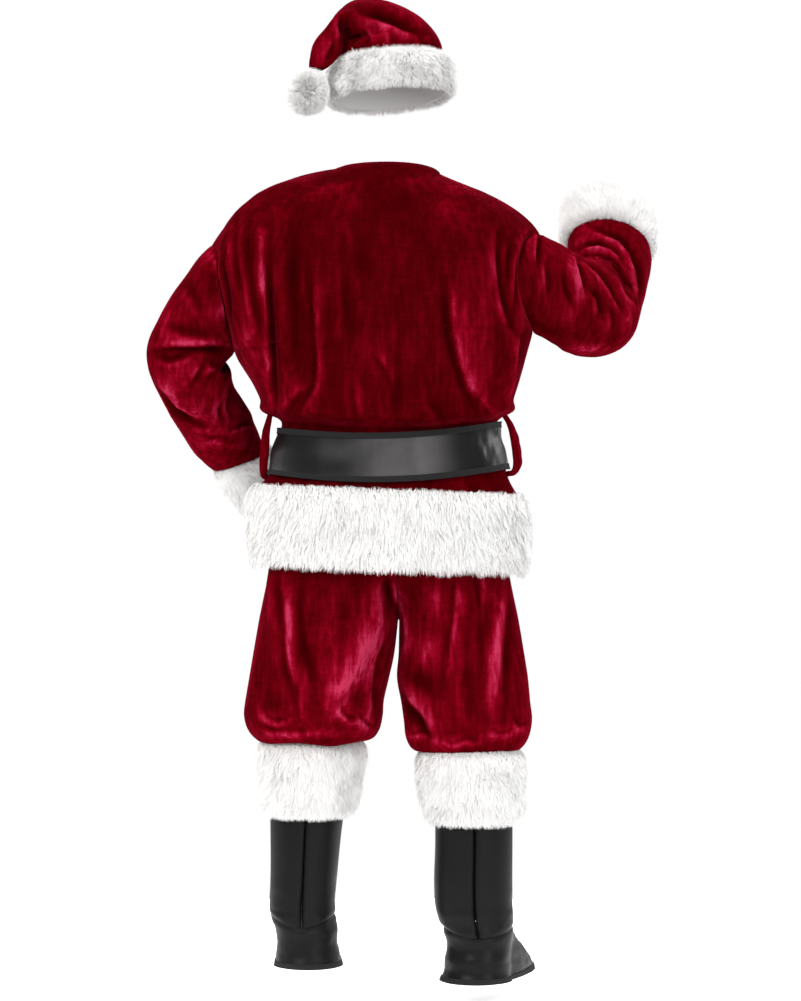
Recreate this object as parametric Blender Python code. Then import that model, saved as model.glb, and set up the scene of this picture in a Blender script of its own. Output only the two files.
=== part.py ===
"""Santa suit in the pose it is worn in: jacket, belt, knee breeches, boot covers and hat.

Metres, +Z up. The wearer looks along +Y, so the back of the suit faces -Y and the wearer's left is -X.
The origin is the middle of the jacket's neck opening, where the wearer's neck comes through.
Every cloth piece is a thin wall. Its outer face is a grid of points worked out from the sections below,
and its inner face lies one cloth thickness inside it.
"""

import math
from collections import namedtuple

import bmesh
import bpy
import numpy as np

# Cloth and trim
PLUSH = 0.0026
PVC = 0.0016
TAPE = 0.0012
SEAM_GAP = 0.0002
SEAM_EASE = 0.0022
LAYER_GAP = 0.0006
LEFT_CUFF_PILE = 0.015
RIGHT_CUFF_PILE = 0.016
HEM_PILE = 0.021
HEM_TAPER = 1.0
HEM_OPENING = 0.020
HEM_COLUMNS = 36

# Jacket heights
HEM_Z = -0.596
LEFT_UNDERARM_Z = -0.337
RIGHT_UNDERARM_Z = -0.300
CHEST_Z = -0.200
BLOUSE_Z = -0.464
ARMHOLE_HALF_DEPTH = 0.085
FRONT_LAP = 0.085
LAP_SPACE = 0.030
HEM_SLOPE = 0.0375
HEM_FUR_DROP = 0.134
BODY_FULLNESS = 0.85
SLOPE_FADE = 0.045
SAG_RISE = 0.030
SAG_TOP_Z = -0.340
SAG_FADE = 0.100

# Grid sizes of the solids
BACK_COLUMNS = 26
NECK_COLUMNS = 6
BODY_HEIGHTS = (-0.596, -0.574, -0.546, -0.516, -0.488, -0.464, -0.446, -0.424, -0.398, -0.368)
UNDERARM_ROWS = 2
ARMHOLE_ROWS = 3
SHOULDER_ROWS = 5
SLEEVE_ROWS = 15
ELBOW_ROW = 8
LEG_COLUMNS = 8
SEAT_ROWS = 8
BOOT_COLUMNS = 18
HAT_COLUMNS = 20
HAT_ROWS = 12
SHARP_ANGLE = 50
# Rings lie closer where a tube turns, as if a full turn were this much longer
TURN_LENGTH = 0.050
# How far down a tube its rings have left the shape of its first ring
SLEEVE_BLEND = 0.45
HAT_BLEND = 0.30

Level = namedtuple("Level", "z left right back front")
JACKET_LEVELS = (
    Level(z=-0.596, left=-0.246, right=0.240, back=0.172, front=0.196),
    Level(z=-0.570, left=-0.224, right=0.221, back=0.160, front=0.186),
    Level(z=-0.520, left=-0.2135, right=0.2085, back=0.153, front=0.182),
    Level(z=-0.475, left=-0.2010, right=0.1975, back=0.148, front=0.177),
    Level(z=-0.461, left=-0.2030, right=0.1995, back=0.150, front=0.178),
    Level(z=-0.446, left=-0.2360, right=0.2280, back=0.180, front=0.193),
    Level(z=-0.424, left=-0.2400, right=0.2290, back=0.189, front=0.195),
    Level(z=-0.400, left=-0.251, right=0.236, back=0.194, front=0.196),
    Level(z=-0.337, left=-0.287, right=0.254, back=0.200, front=0.190),
    Level(z=-0.300, left=-0.293, right=0.264, back=0.200, front=0.184),
    Level(z=-0.200, left=-0.313, right=0.270, back=0.186, front=0.164),
)

Point = namedtuple("Point", "x y z")
LEFT_SHOULDER = (
    Point(-0.094, 0.000, 0.002),
    Point(-0.154, 0.000, -0.008),
    Point(-0.209, 0.000, -0.028),
    Point(-0.252, 0.000, -0.053),
    Point(-0.290, 0.000, -0.087),
    Point(-0.331, 0.000, -0.137),
)
RIGHT_SHOULDER = (
    Point(0.094, 0.000, -0.006),
    Point(0.131, 0.002, -0.022),
    Point(0.192, 0.006, -0.047),
    Point(0.233, 0.010, -0.070),
    Point(0.261, 0.012, -0.093),
    Point(0.279, 0.014, -0.115),
)
NECK_BACK = Point(-0.004, -0.072, 0.010)
NECK_FRONT = Point(0.000, 0.086, -0.058)
# How far the raised arm pulls the right armhole round: its back edge goes in, its front edge out
RIGHT_ARMHOLE_TURN = 0.036

# A sleeve section: its two side points as seen from behind, its depth place and half its depth
Section = namedtuple("Section", "ax az bx bz y half_depth")
LEFT_SLEEVE = (
    Section(-0.331, -0.137, -0.287, -0.337, 0.000, 0.085),
    Section(-0.377, -0.181, -0.2885, -0.3445, -0.005, 0.086),
    Section(-0.413, -0.235, -0.290, -0.3525, -0.006, 0.084),
    Section(-0.443, -0.292, -0.292, -0.3620, -0.001, 0.081),
    Section(-0.454, -0.332, -0.2935, -0.3730, 0.010, 0.078),
    Section(-0.444, -0.374, -0.294, -0.3880, 0.028, 0.075),
    Section(-0.422, -0.426, -0.288, -0.4100, 0.056, 0.073),
    Section(-0.392, -0.482, -0.270, -0.438, 0.094, 0.069),
    Section(-0.358, -0.536, -0.251, -0.478, 0.136, 0.063),
    Section(-0.323, -0.568, -0.240, -0.516, 0.172, 0.054),
)
RIGHT_SLEEVE = (
    Section(0.279, -0.115, 0.264, -0.300, 0.014, 0.085),
    Section(0.307, -0.132, 0.302, -0.315, 0.034, 0.086),
    Section(0.334, -0.147, 0.350, -0.335, 0.080, 0.086),
    Section(0.350, -0.156, 0.400, -0.338, 0.122, 0.085),
    Section(0.355, -0.156, 0.444, -0.312, 0.156, 0.083),
    Section(0.354, -0.149, 0.477, -0.240, 0.184, 0.080),
    Section(0.347, -0.131, 0.494, -0.186, 0.210, 0.078),
    Section(0.341, -0.104, 0.499, -0.137, 0.242, 0.076),
)
# The far end of each cuff's backing
LEFT_CUFF_END = Section(-0.268, -0.632, -0.204, -0.574, 0.240, 0.056)
RIGHT_CUFF_END = Section(0.343, -0.030, 0.497, -0.062, 0.296, 0.072)

# Breeches, as sections of the hips above the crotch and of one leg below it
CROTCH_Z = -0.832
SEAT_Z = -0.660
SEAT_FULLNESS = 0.62
SEAT_TO_LEG = 1.8
WAIST_Z = -0.520
WAISTBAND_HEIGHT = 0.036
WAIST_COLUMNS = 28
Hip = namedtuple("Hip", "z left right back front middle")
HIP_LEVELS = (
    Hip(z=-1.000, left=-0.270, right=0.260, back=0.130, front=0.125, middle=0.016),
    Hip(z=-0.892, left=-0.254, right=0.248, back=0.136, front=0.128, middle=0.016),
    Hip(z=-0.832, left=-0.243, right=0.238, back=0.142, front=0.132, middle=0.016),
    Hip(z=-0.750, left=-0.226, right=0.221, back=0.146, front=0.136, middle=0.008),
    Hip(z=-0.640, left=-0.206, right=0.200, back=0.138, front=0.140, middle=0.002),
    Hip(z=-0.520, left=-0.176, right=0.172, back=0.118, front=0.138, middle=0.000),
)
# Below the crotch: outer and inner side of the leg, depth place, half depths behind and in front
Leg = namedtuple("Leg", "z outer inner y back front")
LEFT_LEG = (
    Leg(-0.832, -0.243, 0.0154, 0.000, 0.142, 0.132),
    Leg(-0.892, -0.2535, 0.0085, 0.004, 0.134, 0.128),
    Leg(-0.936, -0.261, -0.001, 0.008, 0.130, 0.126),
    Leg(-0.980, -0.268, -0.011, 0.012, 0.128, 0.126),
    Leg(-1.008, -0.270, -0.013, 0.015, 0.126, 0.125),
    Leg(-1.034, -0.262, -0.019, 0.018, 0.118, 0.118),
    Leg(-1.052, -0.246, -0.033, 0.020, 0.102, 0.102),
    Leg(-1.0575, -0.229, -0.060, 0.022, 0.083, 0.083),
    Leg(-1.050, -0.219, -0.078, 0.024, 0.070, 0.070),
    Leg(-1.038, -0.218, -0.086, 0.026, 0.066, 0.066),
)
RIGHT_LEG = (
    Leg(-0.832, 0.238, 0.0166, 0.000, 0.142, 0.132),
    Leg(-0.892, 0.248, 0.0155, -0.004, 0.134, 0.128),
    Leg(-0.936, 0.255, 0.0125, -0.008, 0.130, 0.126),
    Leg(-0.980, 0.259, 0.020, -0.012, 0.128, 0.126),
    Leg(-1.014, 0.2625, 0.025, -0.015, 0.126, 0.125),
    Leg(-1.046, 0.256, 0.029, -0.018, 0.118, 0.118),
    Leg(-1.066, 0.242, 0.040, -0.020, 0.102, 0.102),
    Leg(-1.0715, 0.226, 0.060, -0.022, 0.083, 0.083),
    Leg(-1.064, 0.217, 0.078, -0.024, 0.070, 0.070),
    Leg(-1.052, 0.214, 0.085, -0.026, 0.066, 0.066),
)

# Boot covers, as rings from the fur's lower edge down. Dip is how much lower the ring lies at the back,
# toe_out how far it is sheared outward for each metre forward
Ring = namedtuple("Ring", "z dip x half_width back front toe_out")
LEFT_SHAFT = (
    Ring(-1.190, 0.000, -0.1545, 0.0690, 0.070, 0.076, 0.0),
    Ring(-1.235, 0.002, -0.1570, 0.0655, 0.068, 0.074, 0.0),
    Ring(-1.300, 0.008, -0.1600, 0.0622, 0.065, 0.070, 0.0),
    Ring(-1.350, 0.014, -0.1630, 0.0605, 0.062, 0.068, 0.0),
    Ring(-1.378, 0.020, -0.1625, 0.0612, 0.062, 0.076, 0.0),
)
LEFT_FOOT = (
    Ring(-1.378, 0.020, -0.1625, 0.0612, 0.062, 0.076, 0.0),
    Ring(-1.402, 0.012, -0.1555, 0.0570, 0.061, 0.100, 0.0),
    Ring(-1.425, 0.006, -0.1535, 0.0565, 0.062, 0.140, 0.0),
    Ring(-1.447, 0.002, -0.1530, 0.0575, 0.064, 0.176, 0.0),
    Ring(-1.463, 0.000, -0.1525, 0.0600, 0.068, 0.190, 0.0),
    Ring(-1.4735, 0.000, -0.1520, 0.0630, 0.071, 0.196, 0.0),
)
RIGHT_SHAFT = (
    Ring(-1.198, 0.000, 0.1545, 0.0710, 0.072, 0.078, 0.0),
    Ring(-1.245, 0.002, 0.1545, 0.0713, 0.071, 0.077, 0.0),
    Ring(-1.310, 0.006, 0.1535, 0.0720, 0.069, 0.074, 0.0),
    Ring(-1.360, 0.010, 0.1555, 0.0705, 0.066, 0.072, 0.04),
    Ring(-1.394, 0.016, 0.1620, 0.0650, 0.065, 0.080, 0.12),
)
RIGHT_FOOT = (
    Ring(-1.394, 0.016, 0.1620, 0.0650, 0.065, 0.080, 0.12),
    Ring(-1.418, 0.010, 0.1650, 0.0605, 0.064, 0.104, 0.30),
    Ring(-1.442, 0.005, 0.1640, 0.0600, 0.065, 0.142, 0.42),
    Ring(-1.466, 0.002, 0.1610, 0.0610, 0.067, 0.172, 0.48),
    Ring(-1.482, 0.000, 0.1590, 0.0635, 0.070, 0.182, 0.50),
    Ring(-1.4925, 0.000, 0.1580, 0.0660, 0.073, 0.186, 0.50),
)
LEFT_BOOT_FUR_TOP = Ring(-1.0579, 0.000, -0.1450, 0.0820, 0.082, 0.086, 0.0)
RIGHT_BOOT_FUR_TOP = Ring(-1.0718, 0.000, 0.1480, 0.0790, 0.080, 0.084, 0.0)
LEFT_BOOT_Y = 0.030
RIGHT_BOOT_Y = -0.030
BOOT_PILE = 0.027
SEAM_GROOVE = 0.0035
SHAFT_ROWS = 6
FOOT_SHARES = (0.0, 0.2, 0.4, 0.6, 0.76, 0.88, 1.0)

# Belt
BELT_HEIGHT = 0.090
BELT_MIDDLE_Z = -0.513
BELT_SAG = 0.019
BELT_SLOPE = 0.024
BELT_COLUMNS = 44
BELT_TAPE_HEIGHT = 0.011
BELT_CLEARANCE = 0.0053
BELT_LAP = 0.045
BELT_START = 0.7275
BELT_ROUND = 1.19
BUCKLE_WIDTH = 0.104
BUCKLE_HEIGHT = 0.102
BUCKLE_BAR = 0.013
BUCKLE_THICK = 0.005

# Belt loops: the middle of the strip beside the belt, going down
Arch = namedtuple("Arch", "x z")
RIGHT_BELT_LOOP = (
    Arch(0.2148, -0.4553),
    Arch(0.2215, -0.4660),
    Arch(0.2275, -0.4810),
    Arch(0.2325, -0.5000),
    Arch(0.2360, -0.5200),
    Arch(0.2372, -0.5380),
    Arch(0.2345, -0.5520),
    Arch(0.2275, -0.5602),
    Arch(0.2190, -0.5616),
)
LEFT_BELT_LOOP = (
    Arch(-0.2232, -0.4545),
    Arch(-0.2262, -0.4650),
    Arch(-0.2300, -0.4800),
    Arch(-0.2320, -0.5000),
    Arch(-0.2335, -0.5200),
    Arch(-0.2345, -0.5400),
    Arch(-0.2350, -0.5560),
    Arch(-0.2335, -0.5650),
    Arch(-0.2281, -0.5696),
)
LOOP_THICK = 0.006
LOOP_TWIST = 0.5
LOOP_WIDTH = 0.024
LOOP_Y = -0.012
LOOP_ROUND = 0.6
LOOP_ROWS = 10
LOOP_COLUMNS = 10

# Hat: sections from the band's top edge over the fold to the tip
HAT_SECTIONS = (
    Section(0.099, 0.203, -0.104, 0.190, 0.010, 0.110),
    Section(0.092, 0.228, -0.100, 0.206, 0.008, 0.106),
    Section(0.077, 0.255, -0.095, 0.220, 0.002, 0.098),
    Section(0.048, 0.288, -0.090, 0.234, -0.006, 0.086),
    Section(0.000, 0.309, -0.087, 0.243, -0.018, 0.072),
    Section(-0.047, 0.308, -0.0860, 0.2490, -0.033, 0.055),
    Section(-0.089, 0.290, -0.0880, 0.2530, -0.047, 0.037),
    Section(-0.121, 0.253, -0.0925, 0.2370, -0.060, 0.028),
    Section(-0.143, 0.220, -0.0925, 0.2140, -0.070, 0.024),
    Section(-0.1475, 0.194, -0.1060, 0.1920, -0.076, 0.018),
    Section(-0.1480, 0.1740, -0.1260, 0.1760, -0.079, 0.011),
)
BAND_CENTRE = Point(0.000, 0.012, 0.168)
BAND_HALF_WIDTH = 0.103
BAND_HALF_DEPTH = 0.114
BAND_HEIGHT = 0.058
BAND_SIDE_TILT = 0.080
BAND_BACK_TILT = 0.090
BAND_PILE = 0.018
BAND_TAPER = 0.965
POMPOM_CENTRE = Point(-0.1500, -0.080, 0.1355)
POMPOM_RADIUS = 0.038

# The largest folds, as lines seen from behind (x, z), with their depth (positive is a trough) and half width
Fold = namedtuple("Fold", "x0 z0 x1 z1 depth width")
FOLD_END = 0.55
FOLD_FACING = 1.6
FOLD_FADE = 0.018
BACK_FOLDS = (
    Fold(-0.226, -0.100, -0.213, -0.455, 0.012, 0.016),
    Fold(-0.246, -0.090, -0.250, -0.300, -0.008, 0.014),
    Fold(-0.143, -0.190, -0.137, -0.410, -0.009, 0.016),
    Fold(-0.160, -0.300, -0.160, -0.455, 0.008, 0.014),
    Fold(-0.030, -0.320, -0.004, -0.390, 0.006, 0.014),
    Fold(0.104, -0.220, 0.128, -0.390, 0.010, 0.018),
    Fold(0.128, -0.390, 0.172, -0.458, 0.012, 0.016),
    Fold(0.194, -0.130, 0.205, -0.300, 0.012, 0.016),
    Fold(0.232, -0.330, 0.222, -0.440, -0.007, 0.012),
    Fold(0.060, -0.400, 0.066, -0.460, -0.008, 0.016),
    Fold(-0.080, -0.410, -0.094, -0.460, -0.008, 0.016),
)
SLEEVE_FOLDS = (
    Fold(-0.425, -0.330, -0.345, -0.336, -0.007, 0.014),
    Fold(-0.420, -0.352, -0.350, -0.356, 0.006, 0.012),
    Fold(-0.445, -0.375, -0.330, -0.455, -0.008, 0.014),
    Fold(-0.310, -0.375, -0.345, -0.420, 0.006, 0.012),
    Fold(-0.250, -0.455, -0.315, -0.480, 0.006, 0.012),
    Fold(0.352, -0.175, 0.372, -0.300, 0.006, 0.014),
    Fold(0.368, -0.166, 0.440, -0.275, 0.006, 0.014),
    Fold(0.372, -0.142, 0.462, -0.205, 0.006, 0.013),
    Fold(0.290, -0.180, 0.300, -0.250, 0.007, 0.014),
)
SEAT_FOLDS = (
    Fold(-0.212, -0.740, -0.196, -0.930, -0.007, 0.015),
    Fold(-0.050, -0.850, -0.100, -0.980, -0.008, 0.024),
    Fold(-0.040, -0.740, -0.024, -0.830, -0.006, 0.016),
    Fold(0.148, -0.740, 0.140, -0.900, -0.006, 0.014),
    Fold(0.198, -0.740, 0.186, -0.980, -0.008, 0.016),
    Fold(0.016, -0.830, 0.044, -0.950, -0.005, 0.014),
    Fold(-0.155, -0.970, -0.140, -1.040, -0.005, 0.014),
    Fold(0.060, -0.980, 0.050, -1.045, 0.005, 0.012),
)
# Similar folds on the side that does not show
FRONT_FOLDS = (
    Fold(-0.200, -0.140, -0.170, -0.440, 0.010, 0.018),
    Fold(-0.110, -0.260, -0.105, -0.455, 0.007, 0.015),
    Fold(0.190, -0.150, 0.150, -0.430, 0.010, 0.018),
    Fold(0.100, -0.300, 0.098, -0.455, 0.007, 0.015),
    Fold(-0.180, -0.740, -0.165, -0.960, -0.007, 0.018),
    Fold(0.160, -0.740, 0.170, -0.960, -0.007, 0.018),
    Fold(-0.070, -0.880, -0.110, -1.000, -0.006, 0.020),
    Fold(0.080, -0.880, 0.110, -1.000, -0.006, 0.020),
)


def through(stations, values, at):
    """Reads a smooth curve through the values, one row for each station, at the places asked for."""
    stations = np.asarray(stations, float)
    values = np.asarray(values, float)
    at = np.atleast_1d(np.asarray(at, float))
    slopes = np.gradient(values, stations, axis=0)
    low = np.clip(np.searchsorted(stations, at, side="right") - 1, 0, len(stations) - 2)
    span = stations[low + 1] - stations[low]
    t = np.clip((at - stations[low]) / span, 0.0, 1.0)
    shape = (-1,) + (1,) * (values.ndim - 1)
    t = t.reshape(shape)
    span = span.reshape(shape)
    start = (2 * t**3 - 3 * t**2 + 1) * values[low] + (t**3 - 2 * t**2 + t) * span * slopes[low]
    end = (3 * t**2 - 2 * t**3) * values[low + 1] + (t**3 - t**2) * span * slopes[low + 1]
    return start + end


def eased(value):
    """0 to 1 with a soft start and end."""
    value = np.clip(value, 0.0, 1.0)
    return value * value * (3 - 2 * value)


def unit(vectors):
    """The vectors at length 1."""
    return vectors / np.maximum(np.linalg.norm(vectors, axis=-1, keepdims=True), 1e-12)


def columns_of(levels):
    """A table's rows as an array, lowest height first."""
    return np.array(sorted(levels), float)


def row_heights():
    """Heights of the jacket's rows up to the chest, with one on each underarm."""
    under = np.linspace(LEFT_UNDERARM_Z, RIGHT_UNDERARM_Z, UNDERARM_ROWS + 1)
    turn = np.linspace(0, math.pi / 2, ARMHOLE_ROWS + 1)[1:]
    arm = CHEST_Z - (CHEST_Z - RIGHT_UNDERARM_Z) * np.cos(turn)
    return np.concatenate([BODY_HEIGHTS, under, arm])


def armhole_depth(heights, underarm):
    """Half the depth of the armhole at each height, from nothing at the underarm."""
    part = np.clip((CHEST_Z - heights) / (CHEST_Z - underarm), 0.0, 1.0)
    return ARMHOLE_HALF_DEPTH * np.sqrt(1 - part**2)


def belt_shift(x):
    """How far the belt sags below its side height at each place across the body."""
    return -BELT_SAG * (1 - np.clip(x / JACKET_LEVELS[2].right, -1, 1) ** 2)


def jacket_line(u, side, z):
    """Points of the jacket below the underarms at the angles u and height z, one z or one for each."""
    table = columns_of(JACKET_LEVELS)
    share = (np.sin(u * math.pi / 2) + 1) / 2
    z = np.zeros(len(u)) + z
    levels = through(table[:, 0], table[:, 1:], z)
    x = levels[:, 0] + (levels[:, 1] - levels[:, 0]) * share
    holes = [armhole_depth(z, LEFT_UNDERARM_Z), armhole_depth(z, RIGHT_UNDERARM_Z)]
    turn = RIGHT_ARMHOLE_TURN * (holes[1] / ARMHOLE_HALF_DEPTH) ** 2
    x = x + (-turn if side < 0 else turn / 4) * share
    edge = holes[0] + (holes[1] - holes[0]) * share
    depth = levels[:, 2] if side < 0 else levels[:, 3]
    y = edge + (depth - edge) * np.cos(u * math.pi / 2) ** BODY_FULLNESS
    slope = HEM_SLOPE * (1 - eased((z - HEM_Z) / SLOPE_FADE))
    belt = eased((z - HEM_Z) / SAG_RISE) * eased((SAG_TOP_Z - z) / SAG_FADE)
    return np.stack([x, side * y, z - slope * x + belt_shift(x) * belt], axis=1)


def top_edge(u, side):
    """The shoulder seams and the neckline, at u from -1, the left armhole, to 1, the right one."""
    neck = NECK_COLUMNS / BACK_COLUMNS
    points = np.zeros((len(u), 3))
    for i, place in enumerate(u):
        line = np.array(LEFT_SHOULDER if place < 0 else RIGHT_SHOULDER)
        if abs(place) > neck - 1e-6:
            along = (abs(place) - neck) / (1 - neck)
            points[i] = through(np.linspace(0, 1, len(line)), line, along)[0]
            continue
        middle = np.array(NECK_BACK if side < 0 else NECK_FRONT)
        angle = abs(place) / neck * math.pi / 2
        points[i] = middle + (line[0] - middle) * [math.sin(angle), 0, 0]
        points[i, 1:] = line[0][1:] + (middle - line[0])[1:] * math.cos(angle)
    return points


def jacket_panel(u, side):
    """Outer points of the jacket at the angles u, on side -1, the back, or 1, the front. Rows run upward."""
    rows = [jacket_line(u, side, z) for z in row_heights()]
    chest = rows[-1]
    top = top_edge(u, side)
    for turn in np.linspace(0, math.pi / 2, SHOULDER_ROWS + 1)[1:]:
        rise, reach = math.sin(turn), math.cos(turn)
        row = top + (chest - top) * reach
        row[:, 0] = chest[:, 0] + (top[:, 0] - chest[:, 0]) * (1 - reach)
        row[:, 2] = chest[:, 2] + (top[:, 2] - chest[:, 2]) * rise
        rows.append(row)
    return np.array(rows)


def armhole(back, front, side, underarm_row):
    """The armhole as one loop: from the underarm up the back panel's edge and down the front panel's."""
    column = 0 if side < 0 else -1
    up = back[underarm_row:, column]
    down = front[underarm_row:, column][::-1][1:-1]
    return np.concatenate([up, down])


def tube_rings(sections, angles, count, loop, blend):
    """Rings of a bent tube through the sections, at these angles round it. The first is the given loop."""
    table = np.array(sections, float)
    near = table[:, 0:2]
    far = table[:, 2:4]
    middle = (near + far) / 2
    centre = np.stack([middle[:, 0], table[:, 4], middle[:, 1]], axis=1)
    across = (near - far) / 2
    across = np.stack([across[:, 0], np.zeros(len(table)), across[:, 1]], axis=1)
    along = np.concatenate([[0], np.cumsum(np.linalg.norm(np.diff(centre, axis=0), axis=1))])
    turned = np.linalg.norm(np.diff(unit(across), axis=0), axis=1)
    along = along + np.concatenate([[0], np.cumsum(turned)]) * TURN_LENGTH
    at = np.linspace(0, along[-1], count + 1)
    centre = through(along, centre, at)
    across = through(along, across, at)
    depth = through(along, table[:, 5], at)
    tangent = unit(np.gradient(centre, axis=0))
    sideways = unit(np.cross(across, tangent))
    sideways *= np.where(sideways[:, 1:2] > 0, -1, 1)
    rings = []
    even = np.linspace(0, 2 * math.pi, len(angles), endpoint=False)
    for i in range(count + 1):
        share = eased(at[i] / along[-1] / blend)
        turn = angles + (even - angles) * share
        ring = centre[i] - np.cos(turn)[:, None] * across[i]
        ring = ring + np.sin(turn)[:, None] * depth[i] * sideways[i]
        carried = loop + centre[i] - centre[0]
        rings.append(carried + (ring - carried) * share)
    return np.array(rings)


def loop_angles(loop, top):
    """The angle round the sleeve of each point of the armhole, by its share of the way up and down."""
    closed = np.concatenate([loop, loop[:1]])
    along = np.concatenate([[0], np.cumsum(np.linalg.norm(np.diff(closed, axis=0), axis=1))])
    up = along[: top + 1] / along[top] * math.pi
    down = math.pi + (along[top + 1 : -1] - along[top]) / (along[-1] - along[top]) * math.pi
    return np.concatenate([up, down])


def breeches_panel(side, face):
    """Outer points of one breeches panel, from the outer side seam in to the middle seam or inseam."""
    given = np.array(LEFT_LEG if side < 0 else RIGHT_LEG, float)
    share = np.linspace(0, 1, LEG_COLUMNS + 1)
    made = []
    for z in np.linspace(WAIST_Z, CROTCH_Z, SEAT_ROWS + 1)[:-1]:
        hips = columns_of(HIP_LEVELS)
        left, right, back, front, middle = through(hips[:, 0], hips[:, 1:], z)[0]
        outer = left if side < 0 else right
        depth = back if face < 0 else front
        seat = np.clip((SEAT_Z - z) / (SEAT_Z - CROTCH_Z), 0, 1)
        leg = seat**SEAT_TO_LEG
        hip_x = middle + (outer - middle) * np.cos(share * math.pi / 2)
        hip_y = face * depth * np.sin(share * math.pi / 2) ** SEAT_FULLNESS
        inner = given[0][2] + side * SEAM_GAP
        leg_x = (outer + inner) / 2 + (outer - inner) / 2 * np.cos(share * math.pi)
        leg_y = face * depth * np.sin(share * math.pi)
        x = hip_x + (leg_x - hip_x) * leg
        y = hip_y + (leg_y - hip_y) * leg
        made.append(np.stack([x, y, np.full(len(share), z)], axis=1))
    along = np.linspace(0, 1, len(given))
    for z, outer, inner, y, back, front in through(along, given, along):
        depth = back if face < 0 else front
        angle = share * math.pi
        x = (outer + inner) / 2 + (outer - inner) / 2 * np.cos(angle)
        made.append(np.stack([x, y + face * depth * np.sin(angle), np.full(len(share), z)], axis=1))
    return np.array(made)


def face_normals(grid, closed):
    """Normals of a grid's points, summed over the faces round each."""
    wrapped = np.concatenate([grid, grid[:, :1]], axis=1) if closed else grid
    a, b = wrapped[:-1, :-1], wrapped[:-1, 1:]
    c, d = wrapped[1:, 1:], wrapped[1:, :-1]
    normal = np.cross(c - a, d - b)
    total = np.zeros_like(wrapped)
    for rows, cols in ((0, 0), (0, 1), (1, 1), (1, 0)):
        total[rows : rows + len(normal), cols : cols + normal.shape[1]] += normal
    if closed:
        total[:, 0] += total[:, -1]
        total = total[:, :-1]
    return total


def shared_normals(grids):
    """Normals of several grids, (points, closed) by name, with one normal where their points coincide."""
    sums = {}
    summed = {name: face_normals(points, closed) for name, (points, closed) in grids.items()}
    keys = {name: np.floor(points / 1e-5 + 0.237).astype(np.int64) for name, (points, _) in grids.items()}
    for name, normals in summed.items():
        for key, normal in zip(keys[name].reshape(-1, 3), normals.reshape(-1, 3)):
            sums[tuple(key)] = sums.get(tuple(key), 0) + normal
    shared = {}
    for name, normals in summed.items():
        flat = [sums[tuple(key)] for key in keys[name].reshape(-1, 3)]
        shared[name] = unit(np.array(flat).reshape(normals.shape))
    return shared


def fold_depth(points, folds):
    """How far each point sinks in at these folds, from its distance to their lines as seen from behind."""
    sunk = np.zeros(points.shape[:-1])
    for fold in folds:
        start = np.array([fold.x0, fold.z0])
        line = np.array([fold.x1, fold.z1]) - start
        offset = points[..., (0, 2)] - start
        share = np.clip(offset @ line / (line @ line), 0, 1)
        away = np.linalg.norm(offset - share[..., None] * line, axis=-1)
        fade = FOLD_END + (1 - FOLD_END) * np.sin(share * math.pi)
        sunk += fold.depth * fade * np.exp(-((away / fold.width) ** 2))
    return sunk


def folded(grids, back_folds, front_folds, lowest=-2.0):
    """The grids with the folds pressed into the side that each of them faces, above the lowest height."""
    normals = shared_normals(grids)
    pressed = {}
    for name, (points, closed) in grids.items():
        toward_back = eased(-normals[name][..., 1:2] * FOLD_FACING)
        toward_front = eased(normals[name][..., 1:2] * FOLD_FACING)
        sunk = fold_depth(points, back_folds)[..., None] * toward_back
        sunk = sunk + fold_depth(points, front_folds)[..., None] * toward_front
        above = eased((points[..., 2:] - belt_shift(points[..., :1]) - lowest) / FOLD_FADE)
        pressed[name] = (points - normals[name] * sunk * above, closed)
    return pressed


def turned_out(grid, closed):
    """The grid with its columns in the order that makes its normals point outward."""
    from_middle = grid - grid.mean(axis=1, keepdims=True)
    outward = (face_normals(grid, closed) * from_middle).sum()
    return grid if outward > 0 else grid[:, ::-1]


def pulled_in(grid, closed, gap, ends=(True, True), sides=(True, True)):
    """The grid with its free edges drawn in by the gap."""
    grid = grid.copy()
    if ends[0]:
        grid[0] += unit(grid[1] - grid[0]) * gap[0]
    if ends[1]:
        grid[-1] += unit(grid[-2] - grid[-1]) * gap[-1]
    if not closed and sides[0]:
        grid[:, 0] += unit(grid[:, 1] - grid[:, 0]) * gap[:, 0]
    if not closed and sides[1]:
        grid[:, -1] += unit(grid[:, -2] - grid[:, -1]) * gap[:, -1]
    return grid


def add_object(name, points, faces, material):
    """One mesh object, with its faces turned outward."""
    mesh = bpy.data.meshes.new(name)
    mesh.from_pydata([tuple(p) for p in points], [], faces)
    mesh.validate()
    corners = np.array([[points[i] for i in (f[0], f[1], f[2])] for f in triangles(faces)])
    if np.linalg.det(corners).sum() < 0:
        mesh.flip_normals()
    mesh.materials.append(material)
    mesh.shade_smooth()
    mesh.set_sharp_from_angle(angle=math.radians(SHARP_ANGLE))
    made = bpy.data.objects.new(name, mesh)
    bpy.context.scene.collection.objects.link(made)
    return made


def triangles(faces):
    """The faces as triangles."""
    split = []
    for face in faces:
        split += [(face[0], face[i], face[i + 1]) for i in range(1, len(face) - 1)]
    return split


def sheet_faces(points, closed, start, flip):
    """Triangles of a grid whose points begin at start, each square cut along its shorter diagonal."""
    rows, columns = points.shape[:2]
    last = columns if closed else columns - 1
    faces = []
    for r in range(rows - 1):
        for c in range(last):
            n = (c + 1) % columns
            a, b, d, e = (r, c), (r, n), (r + 1, n), (r + 1, c)
            first = np.linalg.norm(points[a] - points[d]) <= np.linalg.norm(points[b] - points[e])
            corners = ((a, b, d), (a, d, e)) if first else ((a, b, e), (b, d, e))
            for corner in corners:
                face = [start + row * columns + column for row, column in corner]
                faces.append(face[::-1] if flip else face)
    return faces


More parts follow.
